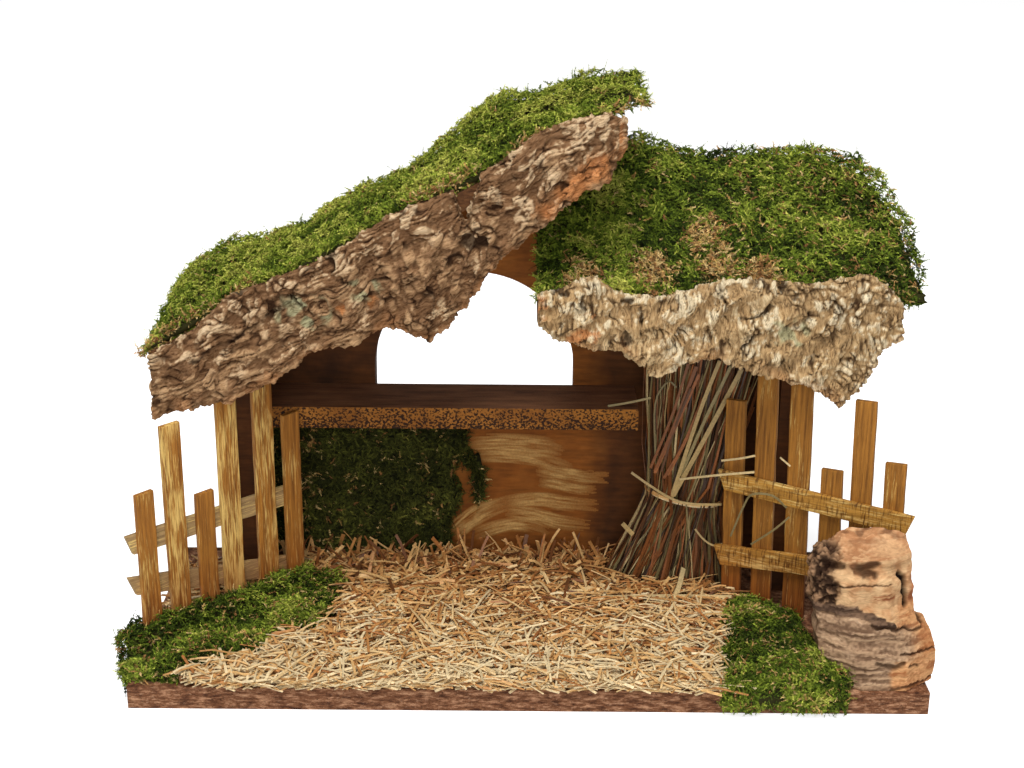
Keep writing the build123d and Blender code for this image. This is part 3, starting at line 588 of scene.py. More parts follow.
def even_tone(points):
    """No shift of tone and nothing dry."""
    return np.zeros(len(points)), np.zeros(len(points))


def heap_tone(points):
    """A little darker than the roofs."""
    return np.full(len(points), -0.05), np.full(len(points), 0.06)


def left_roof_tone(points):
    """Light, dry and brown in places along the bark and at the low end."""
    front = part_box("left_roof_moss")[0].y
    edge = ease(0.010, 0.002, points[:, 1] - front) * ease(0.0, 0.4, noise_at(points, 0.03, 3.0) + 0.05)
    low_end = ease(0.016, 0.004, points[:, 1] - front) * ease(-0.155, -0.170, points[:, 0])
    return np.full(len(points), 0.20), np.maximum(edge, low_end) * 0.6 - 0.08


# Patches of dry straw on the right roof: middle along X, depth behind the front edge, and half width
dry_patches = (
    (0.026, 0.006, 0.010),
    (0.061, 0.012, 0.012),
    (0.095, 0.014, 0.013),
    (0.117, 0.003, 0.014),
    (0.090, 0.034, 0.012))
dry_half_depth = 0.012


def right_roof_tone(points):
    """Painted light under the high roof, lifting the shadow it casts there; brown at the right, with patches
    of dry straw along the front edge.
    """
    x, y, z = points.T
    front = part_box("right_roof_moss")[0].y
    dry = np.zeros(len(points))
    for middle, depth, half_width in dry_patches:
        gap = np.hypot((x - middle) / half_width, (y - front - depth) / dry_half_depth)
        dry = np.maximum(dry, ease(1.3, 0.5, gap + 0.7 * noise_at(points, 0.007, 8.0)))
    # Painted light: lighter greens where the high left roof shades this mat.
    light = ease(0.08, 0.01, x)
    brown = ease(0.09, 0.16, x)
    return 0.26 * light + 0.04 * brown - 0.07, dry * 0.85 + 0.07 * brown


def pushes(along_x, along_z):
    """Pushes along X and Z, one for each point."""
    return np.stack([along_x, np.zeros_like(along_x), along_z], 1)


def left_roof_push(points):
    """Lifts the mat's back in its middle and at its low end, and lets it hang over the high end."""
    x, y, z = points.T
    middle = ease(-0.07, -0.025, x) * ease(0.045, 0.015, x)
    low_end = ease(-0.13, -0.18, x)
    lift = ease(0.02, 0.07, y) * (0.0050 * middle + 0.0035 * low_end)
    return pushes(0.007 * ease(0.032, 0.048, x), lift)


def right_roof_push(points):
    """Spreads the mat's right end towards the back."""
    x, y, z = points.T
    spread = np.interp(y, (-0.0075, 0.015, 0.045, 0.065, 0.09), (-0.006, 0.004, 0.009, 0.006, -0.004))
    lift = ease(0.04, 0.08, y) * (0.002 + 0.003 * ease(0.12, 0.16, x))
    return pushes(spread * ease(0.14, 0.195, x), lift)


# The left fence's line over the base: its left end in X and Y, and its slope
fence_x = -0.195
fence_y = -0.037
fence_slope = 0.91


def behind_fence(points):
    """How far places lie behind the left fence's line, along Y."""
    return points[:, 1] - fence_y - fence_slope * (points[:, 0] - fence_x)


def left_heap_push(points):
    """Lets the heap hang over the base's left edge and swell round the pickets' feet."""
    x, y, z = points.T
    swell = ease(0.018, 0.004, np.abs(behind_fence(points) + 0.007)) * ease(0.012, 0.017, z)
    return pushes(-0.007 * ease(-0.178, -0.205, x) * ease(0.006, 0.016, z), 0.0065 * swell)


def tuft_push(points):
    """Bends the tuft's top over to the moss beside it."""
    bend = -0.008 * ease(0.066, 0.082, points[:, 2])
    return pushes(bend, np.zeros_like(bend))


# Bark
def cork(name, turn, fibre, contrast):
    """Cork bark: the mesh's own colour, streaked with fine fibres that wander."""
    finish = Finish(name, 0.92, 0.1)
    wander = finish.bent(turn, 0.010, 0.008)
    fibres = finish.noise(finish.in_grains(wander, fibre), detail=6.0, roughness=0.75)
    shade = (255 - contrast, 255 - 1.15 * contrast, 255 - 1.3 * contrast)
    score = finish.ramp(fibres, [(0.36, shade), (0.50, (236, 230, 224)), (0.62, white)])
    return finish.finish(finish.shaded(finish.tint(), score), fibres, 0.0012)


def line_shade(x, z, lines):
    """How deep each place lies in listed lines: 1 in their middle and 0 beside them."""
    place = np.stack([x, z], 1)
    shade = np.zeros(len(place))
    for width, *knots in lines:
        for start, end in zip(knots, knots[1:]):
            step = np.subtract(end, start)
            share = np.clip(((place - start) @ step) / (step @ step), 0, 1)
            gap = np.linalg.norm(place - start - share[:, None] * step, axis=1)
            shade = np.maximum(shade, ease(width, 0.3 * width, gap))
    return shade


def patch_shade(x, z, patches):
    """1 inside listed round patches (middle in X and Z, half width and half height), 0 outside."""
    shade = np.zeros(len(x))
    for middle_x, middle_z, half_width, half_height in patches:
        gap = np.hypot((x - middle_x) / half_width, (z - middle_z) / half_height)
        shade = np.maximum(shade, ease(1.2, 0.7, gap))
    return shade


def edge_lines(points, width):
    """The lowest and the highest point of a strip of bark at each point's place along it."""
    bins = np.floor((points[:, 0] - points[:, 0].min()) / width).astype(int)
    lowest = np.full(bins.max() + 1, np.inf)
    highest = np.full(bins.max() + 1, -np.inf)
    np.minimum.at(lowest, bins, points[:, 2])
    np.maximum.at(highest, bins, points[:, 2])
    return lowest[bins], highest[bins]


# Marks: cracks as a width and points in X and Z, the others as middles and half sizes
left_marks = SimpleNamespace(
    cracks=(
        (0.0016, (-0.172, 0.160), (-0.150, 0.173), (-0.126, 0.189)),
        (0.0012, (0.040, 0.265), (0.024, 0.2605), (0.010, 0.252), (-0.001, 0.242)),
        (0.0010, (-0.016, 0.265), (-0.009, 0.2555)),
        (0.0013, (-0.047, 0.2085), (-0.037, 0.217), (-0.0355, 0.225)),
        (0.0010, (-0.0585, 0.187), (-0.053, 0.195), (-0.051, 0.2015)),
        (0.0010, (-0.120, 0.196), (-0.109, 0.186)),
        (0.0012, (-0.095, 0.204), (-0.078, 0.203), (-0.068, 0.207))),
    hollows=((-0.029, 0.2245, 0.007, 0.004), (-0.146, 0.199, 0.004, 0.003), (-0.099, 0.213, 0.002, 0.006)),
    raws=((-0.0795, 0.193, 0.004, 0.004), (-0.095, 0.190, 0.003, 0.003)),
    lichens=((-0.113, 0.188, 0.015, 0.009), (-0.083, 0.199, 0.008, 0.006)))
right_marks = SimpleNamespace(
    cracks=(
        (0.0014, (0.0245, 0.1975), (0.0270, 0.186)),
        (0.0012, (0.101, 0.1845), (0.111, 0.1865), (0.120, 0.191)),
        (0.0012, (0.1065, 0.170), (0.1125, 0.1775)),
        (0.0012, (0.095, 0.1975), (0.100, 0.189)),
        (0.0011, (0.054, 0.192), (0.056, 0.176)),
        (0.0011, (0.136, 0.200), (0.140, 0.190), (0.137, 0.178)),
        (0.0011, (0.150, 0.196), (0.158, 0.186), (0.156, 0.172))),
    hollows=((0.048, 0.1755, 0.0025, 0.004), (0.125, 0.2035, 0.003, 0.003),
             (0.014, 0.198, 0.004, 0.0015), (0.047, 0.1938, 0.003, 0.0016)),
    raws=((0.0255, 0.1755, 0.0100, 0.0045), (0.0045, 0.1910, 0.0035, 0.0060),
          (0.0300, 0.1880, 0.0025, 0.0030)),
    lichens=((0.129, 0.180, 0.010, 0.008),))
left_tans = ((146, 110, 78), (202, 164, 122), (240, 212, 172))
right_tans = ((206, 172, 124), (242, 214, 166), (255, 240, 204))


def bark_forms(points, local, seed, flute, knobs, marks):
    """Fields over a strip of bark: its flutes, knobs and furrows, and the listed marks."""

    def lumps(grain, shift):
        """Noise over the strip laid level."""
        return noise_at(local, grain, seed + shift)

    warp = np.stack([lumps(0.018, k * 5.0) for k in range(3)], 1)
    ripple = np.stack([lumps(0.0045, 40.0 + k * 5.0) for k in range(3)], 1)
    grit = lumps(0.0014, 11.0)
    bent = local + warp * 0.005 + ripple * 0.0010
    wave = np.abs(noise_at(bent, flute, seed + 7.0))
    wavelet = np.abs(noise_at(bent, np.asarray(flute) * 0.45, seed + 8.0))
    inward, plates = cells_at(bent, 0.0062, seed)
    knobby_from, knobby_rise = knobs
    knobby = ease(0.05, 0.45, lumps(0.035, 2.0) + knobby_rise * (points[:, 0] - knobby_from))
    broken = 0.2 + 0.8 * ease(-0.30, 0.25, lumps(0.007, 3.0))
    x = points[:, 0] + 0.0024 * ripple[:, 0] + 0.0010 * grit
    z = points[:, 2] + 0.0024 * ripple[:, 2] + 0.0010 * grit
    return SimpleNamespace(
        lumps=lumps, warp=warp, ripple=ripple, grit=grit, wavelet=wavelet, plates=plates,
        swell=noise_at(bent, 0.009, seed + 9.0),
        crest=(wave - 0.2) * (1 - knobby) + 0.6 * (ease(0.0, 0.4, inward) - 0.6) * knobby,
        furrow=np.maximum(ease(0.14, 0.03, wave), ease(0.15, 0.03, inward) * knobby) * broken,
        scratch=ease(0.11, 0.02, wavelet) * ease(-0.1, 0.3, lumps(0.006, 4.0)),
        deep=np.maximum(line_shade(x, z, marks.cracks) * broken, patch_shade(x, z, marks.hollows)),
        raw=patch_shade(x, z, marks.raws) * ease(-0.3, 0.2, ripple[:, 1]),
        lichen=patch_shade(x, z, marks.lichens) * ease(-0.1, 0.25, lumps(0.005, 23.0)))


def bark_relief(forms, edgewise):
    """How far the bark stands out: crests and plates over furrows and cracks, ragged along its edges."""
    ragged = (forms.lumps(0.0042, 13.0) + 0.7 * forms.lumps(0.0017, 15.0)) * 0.0015
    return (0.0007 * forms.swell + 0.0020 * forms.crest + 0.0008 * (forms.wavelet - 0.2)
            + 0.0007 * (forms.plates - 0.5) - 0.0008 * forms.furrow - 0.0004 * forms.scratch
            - 0.0020 * forms.deep + 0.0002 * forms.grit + ragged * ease(0.35, 0.75, edgewise))


def bark_colours(forms, points, outward, raw_from, tans):
    """Tans with pale patches and a painted highlight on the upper parts, raw cork low down and lichen, under
    dark furrows and cracks painted as shade.
    """
    dark, light, pale = tans
    x, y, z = points.T
    lowest, highest = edge_lines(points, 0.004)
    torn = ease(raw_from, raw_from + 0.02, x)
    rise = z - lowest - 0.012 * torn + 0.006 * forms.warp[:, 0]
    raw = ease(0.010, 0.002, rise) * ease(-0.25, 0.2, forms.lumps(0.012, 17.0)) * (0.3 + 0.7 * torn)
    # The tone is partly random, and also darker in low places and lighter on the crests: partly painted
    # shade.
    tone = ease(-0.6, 0.6, 1.4 * forms.crest + 0.4 * forms.swell + 0.6 * (forms.plates - 0.5)
                + 0.6 * forms.grit + 0.4 * forms.ripple[:, 1])
    # Painted highlight: the strip's top edge, upward-facing places and places towards +X are painted paler,
    # as if lit; the lumps add random pale patches.
    upper = ease(0.022, 0.004, highest - z) + 0.7 * ease(-0.04, 0.02, x)
    pale_and_painted_highlight = ease(-0.1, 0.5, forms.lumps(0.022, 25.0) + 0.5 * outward[:, 2] + 0.5 * upper)
    colours = shades(dark, light, tone)
    for seen, share in (
            (pale, pale_and_painted_highlight * ease(0.35, 0.75, tone) * 0.85),
            ((224, 152, 94), np.maximum(raw, forms.raw) * 0.85),
            ((196, 198, 156), forms.lichen * 0.8),
            # Painted shade: dark in the furrows, scratches, cracks and hollows, where shade falls.
            ((60, 38, 24), np.maximum(forms.furrow, 0.65 * forms.scratch) * 0.92),
            ((56, 38, 26), forms.deep * 0.85)):
        colours = paint(colours, seen, share)
    return colours


def bark(node, slope, seed, flute, knobs, raw_from, tans, marks, finish):
    """A strip of cork bark: flutes and knobs with furrows between, painted dark as shade, raw along its
    broken lower edge.
    """
    points, faces, outward = dense_copy(node, voxel=0.0007, softened=5)
    cosine, sine = math.cos(slope), math.sin(slope)
    turn = np.array([[cosine, 0, -sine], [0, 1, 0], [sine, 0, cosine]])
    forms = bark_forms(points, points @ turn, seed, flute, knobs, marks)
    shown = ease(0.85, 0.5, outward[:, 1])
    relief = bark_relief(forms, np.abs((outward @ turn)[:, 2]))
    points = points + outward * (relief * shown)[:, None]
    colours = bark_colours(forms, points, outward, raw_from, tans)
    add_piece(node + "_cork", points, faces, finish, [node], colours, smooth=True)


# Marks on the stump: pits as middles and half sizes, the others as a width and points in X and Z
stump_marks = SimpleNamespace(
    cracks=(
        (0.0006, (0.152, 0.0650), (0.160, 0.0665), (0.169, 0.0668), (0.178, 0.0664)),
        (0.0010, (0.169, 0.0458), (0.176, 0.0450), (0.184, 0.0440), (0.192, 0.0418), (0.205, 0.0405)),
        (0.0021, (0.1735, 0.0272), (0.1777, 0.0256), (0.1825, 0.0250), (0.1850, 0.0262)),
        (0.0014, (0.190, 0.0250), (0.1945, 0.0240)),
        (0.0007, (0.185, 0.0320), (0.205, 0.0300)),
        (0.0009, (0.181, 0.0130), (0.192, 0.0138), (0.205, 0.0140))),
    slots=((0.0019, (0.1830, 0.0705), (0.1857, 0.0669), (0.1863, 0.0607), (0.1880, 0.0535)),),
    recesses=(
        (0.0040, (0.1605, 0.0752), (0.1650, 0.0748), (0.1690, 0.0768)),
        (0.0026, (0.1612, 0.0722), (0.1662, 0.0716), (0.1692, 0.0706))),
    pits=((0.1479, 0.0637, 0.0022, 0.0016), (0.1475, 0.0559, 0.0012, 0.0014),
          (0.1437, 0.0668, 0.0014, 0.0026), (0.1480, 0.0720, 0.0020, 0.0022),
          (0.1512, 0.0750, 0.0046, 0.0030)),
    reds=(
        (0.0007, (0.1707, 0.0606), (0.1750, 0.0611), (0.1790, 0.0616)),
        (0.0014, (0.1745, 0.0583), (0.1800, 0.0585)),
        (0.0005, (0.1707, 0.0592), (0.1735, 0.0587)),
        (0.0034, (0.1910, 0.0665), (0.1915, 0.0560))))
# The edges of the stump's dark band: places along X, and their heights
band_top = (
    (0.148, 0.151, 0.154, 0.161, 0.166, 0.174, 0.183),
    (0.0530, 0.0540, 0.0555, 0.0551, 0.0529, 0.0495, 0.0452))
band_bottom = (
    (0.148, 0.158, 0.166, 0.1695, 0.175, 0.183),
    (0.0490, 0.0498, 0.0482, 0.0460, 0.0453, 0.0444))
stump_seed = 31.0
rim_height = 0.0045


def stump_forms(points, outward):
    """Fields over the stump: its layers, the zones of its bark, and the listed marks."""

    def lumps_of(grain, shift):
        """Noise over the stump."""
        return noise_at(points, grain, stump_seed + shift)

    warp = lumps_of(0.014, 0.0)
    rough = lumps_of(0.005, 1.0)
    grit = lumps_of(0.0015, 11.0)
    lumps = lumps_of(0.0045, 13.0)
    x = points[:, 0] + 0.0016 * rough + 0.0005 * grit
    z = points[:, 2] + 0.0010 * rough + 0.0005 * grit
    above = np.interp(x, *band_top)
    under = np.interp(x, *band_bottom)
    top = ease(0.5, 0.8, outward[:, 2]) * ease(0.070, 0.074, points[:, 2])
    grey = ease(0.0004, -0.0004, z - under) * ease(0.198, 0.180, points[:, 0] + 0.008 * warp + 0.003 * lumps)
    grey = grey * np.maximum(ease(0.0270, 0.0290, z), ease(0.184, 0.178, x + 0.003 * lumps))
    right_end = ease(0.176, 0.190, x + 0.004 * warp) * ease(0.058, 0.052, z)
    leaf = z / 0.0016 + 0.5 * lumps_of(0.012, 2.0)
    sheets = np.column_stack([points[:, :2] / 0.016, np.floor(leaf) * 3.7])
    return SimpleNamespace(
        warp=warp, rough=rough, grit=grit, lumps=lumps, x=x, top=top, grey=grey,
        layers=noise_at(sheets, 1.0, stump_seed + 5.0),
        band=ease(-0.0003, 0.0003, above - z) * ease(-0.0003, 0.0003, z - under) * ease(0.1835, 0.181, x),
        crust=ease(0.0505, 0.0535, z) * ease(0.1550, 0.1500, x + 0.005 * warp + 0.0015 * lumps),
        foot=np.clip(right_end + ease(0.0275, 0.0255, z), 0, 1),
        seams=ease(0.30, 0.05, leaf - np.floor(leaf)) * ease(-0.2, 0.3, lumps_of(0.008, 8.0)) * grey,
        cracks=line_shade(x, z, stump_marks.cracks) * (1 - top),
        slot=line_shade(x, z, stump_marks.slots),
        pits=patch_shade(x, z, stump_marks.pits),
        recess=line_shade(x + 0.0022 * lumps, z + 0.0015 * lumps, stump_marks.recesses) * (1 - top),
        red=line_shade(x, z, stump_marks.reds) * (1 - top))


def stump_relief(forms):
    """How far the stump's bark stands out: layers, band and crust over cracks, pits and recesses."""
    return (0.0011 * forms.layers * forms.grey - 0.0004 * forms.seams + 0.0007 * forms.band
            + (0.0022 * forms.lumps + 0.0012 * forms.grit) * forms.crust - 0.0012 * forms.cracks
            - 0.0030 * forms.slot - 0.0022 * forms.pits - 0.0026 * forms.recess
            + 0.0012 * forms.red * forms.lumps + 0.0008 * forms.warp + 0.0004 * forms.rough
            + 0.0002 * forms.grit)


def stump_colours(forms, rim_share):
    """Smooth tan, then the zones one over another, and last the rim, the dark seams, and painted shade in
    the cracks, pits and slot.
    """
    fine = ease(-0.5, 0.5, forms.lumps + 0.5 * forms.grit + 0.4 * forms.warp)
    streak = ease(-0.5, 0.5, forms.layers + 0.5 * forms.grit)
    scurf = ease(-0.3, 0.6, forms.lumps + 0.9 * forms.grit)
    # Painted shade in the recess: its colour darkens towards the right, where shade falls in the hollow.
    recess_painted_light = ease(0.166, 0.158, forms.x + 0.004 * forms.lumps)
    colours = shades((210, 160, 114), (238, 198, 150), fine)
    for dark, light, tone, zone in (
            ((190, 124, 78), (238, 182, 128), streak, forms.foot),
            ((130, 102, 80), (206, 172, 138), streak, forms.grey),
            ((204, 148, 104), (240, 194, 146), streak, forms.top),
            ((62, 44, 32), (182, 144, 110), scurf, forms.crust),
            ((78, 60, 48), (140, 112, 90), streak, forms.band),
            ((142, 76, 46), (196, 122, 80), fine, forms.red * 0.85),
            ((84, 56, 38), (166, 118, 82), recess_painted_light, forms.recess * 0.9)):
        colours = blend(colours, shades(dark, light, tone), zone)
    # Painted shade: the raised back rim is painted dark red-brown in patches, standing in for the shadow
    # line along it.
    rim = rim_share * ease(0.148, 0.160, forms.x) * ease(0.1, -0.3, forms.lumps)
    # Painted shade in the cracks and pits, and dark seams between the layers.
    crack_shade_and_seams = 0.9 * forms.cracks + 0.25 * forms.seams + 0.8 * forms.pits
    colours = paint(colours, (108, 70, 48), np.clip(rim, 0, 1) * 0.8)
    colours = paint(colours, (58, 36, 25), np.clip(crack_shade_and_seams, 0, 1) * 0.9)
    # Painted shade: near-black in the slot, where no light reaches.
    return paint(colours, (30, 18, 12), forms.slot)


def stump(finish):
    """The broken stump: a raw flat top, a smooth face, a dark band, and grey layers over a raw foot."""
    node = "bark_stump"
    points, faces, outward = dense_copy(node, voxel=0.0006, softened=2)
    forms = stump_forms(points, outward)
    x, y, z = points.T
    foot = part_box(node)[0].z
    flat = ease(foot + 0.0005, foot + 0.003, z)
    lip = ease(0.0745, 0.0775, z) * ease(-0.050, -0.060, y) * 0.0035
    rim = ease(-0.056, -0.040, y) * ease(0.070, 0.077, z) * (rim_height + 0.0018 * forms.lumps)
    rim = rim * ease(0.146, 0.162, forms.x)
    points = points + outward * (stump_relief(forms) * flat)[:, None]
    points[:, 1] -= lip
    points[:, 2] += rim
    colours = stump_colours(forms, rim / rim_height)
    add_piece(node + "_cork", points, faces, finish, [node], colours, smooth=True)


# Straw
straw_tints = linear([
    (250, 224, 174), (245, 208, 148), (236, 188, 122), (222, 166, 100), (204, 142, 80), (182, 118, 62),
    (152, 94, 48), (116, 70, 36)])
strip_rings = 4   # places along a straw strip


def straw_places(count, front_count, fence_count, rng):
    """Where the strips lie: over the layer, along its front edge, and behind the left fence."""
    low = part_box("floor_straw")[0]
    layer, _ = scatter("floor_straw", count, rng, lambda normals: np.where(normals[:, 2] > 0.9, 1.0, 0.0))
    layer[:, 2] = low.z + rng.uniform(0.0035, 0.0095, count)
    front = np.stack([rng.uniform(-0.166, 0.106, front_count),
                      low.y + rng.uniform(-0.003, 0.008, front_count),
                      low.z + rng.uniform(0.0008, 0.0060, front_count)], 1)
    behind = np.stack([rng.uniform(-0.194, -0.152, fence_count), rng.uniform(-0.030, 0.052, fence_count),
                       low.z + rng.uniform(0.0008, 0.0050, fence_count)], 1)
    behind = behind[behind_fence(behind) > 0.010]
    return np.vstack([layer, front, behind])


def straw_bed(node, seed, finish):
    """The rough bed that the strips lie on."""
    points, faces, outward = dense_copy(node, voxel=0.002)
    points = points + outward * (noise_at(points, 0.006, seed) * 0.0012 - 0.0032)[:, None]
    tints = linear((140, 94, 54)) * (1 + 0.4 * noise_at(points, 0.003, seed + 1.0))[:, None]
    add_piece("floor_straw_bed", points, faces, finish, [node], tints, smooth=True)


def strip_lines(centres, yaw, back, low, high, rng):
    """Slightly bowed middle lines of straw strips and their headings; some stand on end at the back."""
    total = len(centres)
    pitch = rng.normal(0, 0.09, total) + ease(0.55, 0.95, back) * rng.normal(0, 0.40, total)
    length = np.clip(rng.lognormal(math.log(0.0105), 0.52, total), 0.004, 0.036)
    on_end = (rng.random(total) < 0.16 * ease(0.80, 0.93, back)) & (centres[:, 0] > -0.15)
    pitch = np.where(on_end, rng.uniform(0.5, 1.2, total), pitch)
    length = np.where(on_end, rng.uniform(0.010, 0.022, total), length)
    centres[:, 2] += np.where(on_end, 0.4 * length * np.sin(pitch), 0.0)
    heading = np.stack([np.cos(yaw) * np.cos(pitch), np.sin(yaw) * np.cos(pitch), np.sin(pitch)], 1)
    steps = np.linspace(-0.5, 0.5, strip_rings)
    lines = centres[:, None, :] + heading[:, None, :] * (length[:, None] * steps)[..., None]
    bow = rng.normal(0, 0.05, (total, 1)) * length[:, None] * (1 - (2 * steps) ** 2)
    lines[:, :, 2] = np.maximum(lines[:, :, 2] + np.abs(bow), low.z + floor_gap)
    lines[:, :, 1] = np.clip(lines[:, :, 1], low.y - 0.0055, high.y + 0.006)
    return lines, heading


def floor_straw(count, front_count, fence_count, seed, finish):
    """Chopped straw: flat strips piled over a rough bed, paler towards the front with painted shade towards
    the back, as two pieces.
    """
    node = "floor_straw"
    straw_bed(node, seed, finish)
    rng = np.random.default_rng(seed)
    low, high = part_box(node)
    centres = straw_places(count, front_count, fence_count, rng)
    total = len(centres)
    yaw = rng.uniform(0, 2 * math.pi, total)
    yaw[count:count + front_count] = rng.normal(0, 0.45, front_count)
    back = (centres[:, 1] - low.y) / (high.y - low.y)
    lines, heading = strip_lines(centres, yaw, back, low, high, rng)
    side = unit(np.cross(up, heading) + up * rng.normal(0, 0.5, (total, 1)))
    breadth = rng.uniform(0.0005, 0.0015, total) + ease(0.5, 0.9, back) * rng.uniform(0.0, 0.0012, total)
    width = np.repeat(breadth[:, None], strip_rings, 1)
    thickness = np.full_like(width, 0.0004)
    # Darker kinds towards the back are painted shade under the roof; the beta draw is random tone.
    darkness = rng.beta(1.1, 2.2, total) + 0.50 * (back - 0.42)
    kinds = np.clip((darkness * len(straw_tints)).astype(int), 0, len(straw_tints) - 1)
    for part, chosen in enumerate(np.array_split(rng.permutation(total), 2), start=1):
        stalk_piece(f"floor_straw_strips_{part}", lines[chosen], side[chosen], width[chosen],
                    thickness[chosen], straw_tints, kinds[chosen], finish, [node])


sheaf_tints = linear([
    (66, 42, 24), (96, 60, 32), (132, 78, 38), (158, 94, 48), (124, 108, 68), (152, 134, 88),
    (190, 160, 104), (226, 198, 142)])
sheaf_shares = np.array([0.14, 0.20, 0.22, 0.15, 0.11, 0.08, 0.06, 0.04])
sheaf_foot = np.array([0.079, 0.046, 0.012])
sheaf_waist = np.array([0.087, 0.046, 0.065])
sheaf_top = np.array([0.095, 0.046, 0.178])
sheaf_foot_half = np.array([0.037, 0.019])
sheaf_waist_half = np.array([0.019, 0.014])
sheaf_top_half = np.array([0.031, 0.017])

# Single stalks, listed one by one: width, tint and points; the first ones lie on the sheaf, the others stray
loose_stalks = (
    (0.0030, 6, (0.1125, 0.026, 0.145), (0.0960, 0.026, 0.108), (0.0795, 0.029, 0.070)),
    (0.0026, 6, (0.1005, 0.025, 0.150), (0.0915, 0.026, 0.121), (0.0785, 0.029, 0.069)),
    (0.0022, 5, (0.1065, 0.025, 0.147), (0.0940, 0.026, 0.115), (0.0830, 0.029, 0.082)),
    (0.0024, 2, (0.0885, 0.027, 0.146), (0.0770, 0.028, 0.108), (0.0690, 0.030, 0.084)),
    (0.0020, 3, (0.0900, 0.026, 0.142), (0.0810, 0.028, 0.116), (0.0690, 0.030, 0.083)),
    (0.0018, 2, (0.0840, 0.026, 0.148), (0.0770, 0.028, 0.118), (0.0665, 0.030, 0.086)),
    (0.0022, 3, (0.0930, 0.027, 0.128), (0.0850, 0.028, 0.104), (0.0760, 0.030, 0.082)),
    (0.0016, 1, (0.0860, 0.026, 0.134), (0.0785, 0.028, 0.110), (0.0725, 0.030, 0.084)),
    (0.0020, 2, (0.0960, 0.027, 0.136), (0.0870, 0.028, 0.108), (0.0740, 0.030, 0.080)),
    (0.0012, 4, (0.0785, 0.027, 0.134), (0.0735, 0.027, 0.137), (0.0675, 0.028, 0.124),
     (0.0690, 0.030, 0.092)),
    (0.0014, 7, (0.0820, 0.024, 0.082), (0.1010, 0.016, 0.088), (0.1200, 0.009, 0.093)),
    (0.0013, 7, (0.1030, 0.016, 0.0965), (0.1120, 0.013, 0.0990), (0.1200, 0.010, 0.102)),
    (0.0012, 7, (0.1320, 0.003, 0.104), (0.1375, 0.002, 0.0995)),
    (0.0016, 6, (0.0560, 0.027, 0.0845), (0.0665, 0.025, 0.0775), (0.0795, 0.026, 0.0690),
     (0.0905, 0.026, 0.0665), (0.1060, 0.028, 0.0655)),
    (0.0034, 7, (0.0865, 0.025, 0.028), (0.0835, 0.014, 0.0235), (0.0800, 0.003, 0.0205)),
    (0.0020, 7, (0.0420, 0.004, 0.0208), (0.0760, 0.005, 0.0212), (0.1110, 0.004, 0.0215)),
    (0.0015, 5, (0.0425, 0.032, 0.1212), (0.0540, 0.029, 0.1245), (0.0650, 0.027, 0.1280)),
    (0.0012, 6, (0.0920, 0.026, 0.0515), (0.0970, 0.024, 0.0460), (0.1030, 0.022, 0.0435),
     (0.1110, 0.020, 0.0475)),
    (0.0013, 5, (0.1100, 0.014, 0.0530), (0.1160, 0.010, 0.0740), (0.1195, 0.006, 0.0815),
     (0.1295, 0.003, 0.0820), (0.1370, 0.001, 0.0760)),
    (0.0011, 5, (0.1200, 0.006, 0.0520), (0.1310, 0.002, 0.0625), (0.1385, 0.000, 0.0710)),
    (0.0030, 6, (0.0520, 0.026, 0.0545), (0.0580, 0.027, 0.0475)))
loose_width_share = 0.8


def smooth_line(knots, count):
    """Points on a smooth curve through knots."""
    knots = np.asarray(knots)
    padded = np.vstack([2 * knots[0] - knots[1], knots, 2 * knots[-1] - knots[-2]])
    places = np.linspace(0, len(knots) - 1, count)
    index = np.minimum(places.astype(int), len(knots) - 2)
    t = (places - index)[:, None]
    a, b, c, d = (padded[index + k] for k in range(4))
    square = 2 * a - 5 * b + 4 * c - d
    cube = 3 * b - a - 3 * c + d
    return 0.5 * (2 * b + (c - a) * t + square * t ** 2 + cube * t ** 3)


def sheaf_strays(finish):
    """The sheaf's single stalks, each along its own curve."""
    rings = 13
    paths = np.stack([smooth_line(knots, rings) for width, kind, *knots in loose_stalks])
    width = np.array([[stalk[0] * loose_width_share] * rings for stalk in loose_stalks])
    kinds = np.array([stalk[1] for stalk in loose_stalks])
    facing = np.tile(np.array([0.1, -1.0, 0.2]), (len(paths), 1))
    side = unit(np.cross(facing, paths[:, -1] - paths[:, 0]))
    stalk_piece("straw_sheaf_strays", paths, side, width, np.full_like(width, 0.0007), sheaf_tints, kinds,
                finish, ["straw_sheaf"])


def sheaf_core(finish):
    """A dark skin deep inside the sheaf, streaked like stalks and seen between the outer ones: painted
    shade.
    """
    points, faces, outward = dense_copy("straw_sheaf", voxel=0.0012)
    points = points - outward * 0.0032
    streaks = noise_at(points, (0.002, 0.002, 0.02), 5.0)
    # Painted shade: near-black to dark brown.
    tints = shades((34, 22, 13), (84, 54, 30), ease(-0.5, 0.6, streaks))
    add_piece("straw_sheaf_core", points, faces, finish, ["straw_sheaf"], tints, smooth=True)


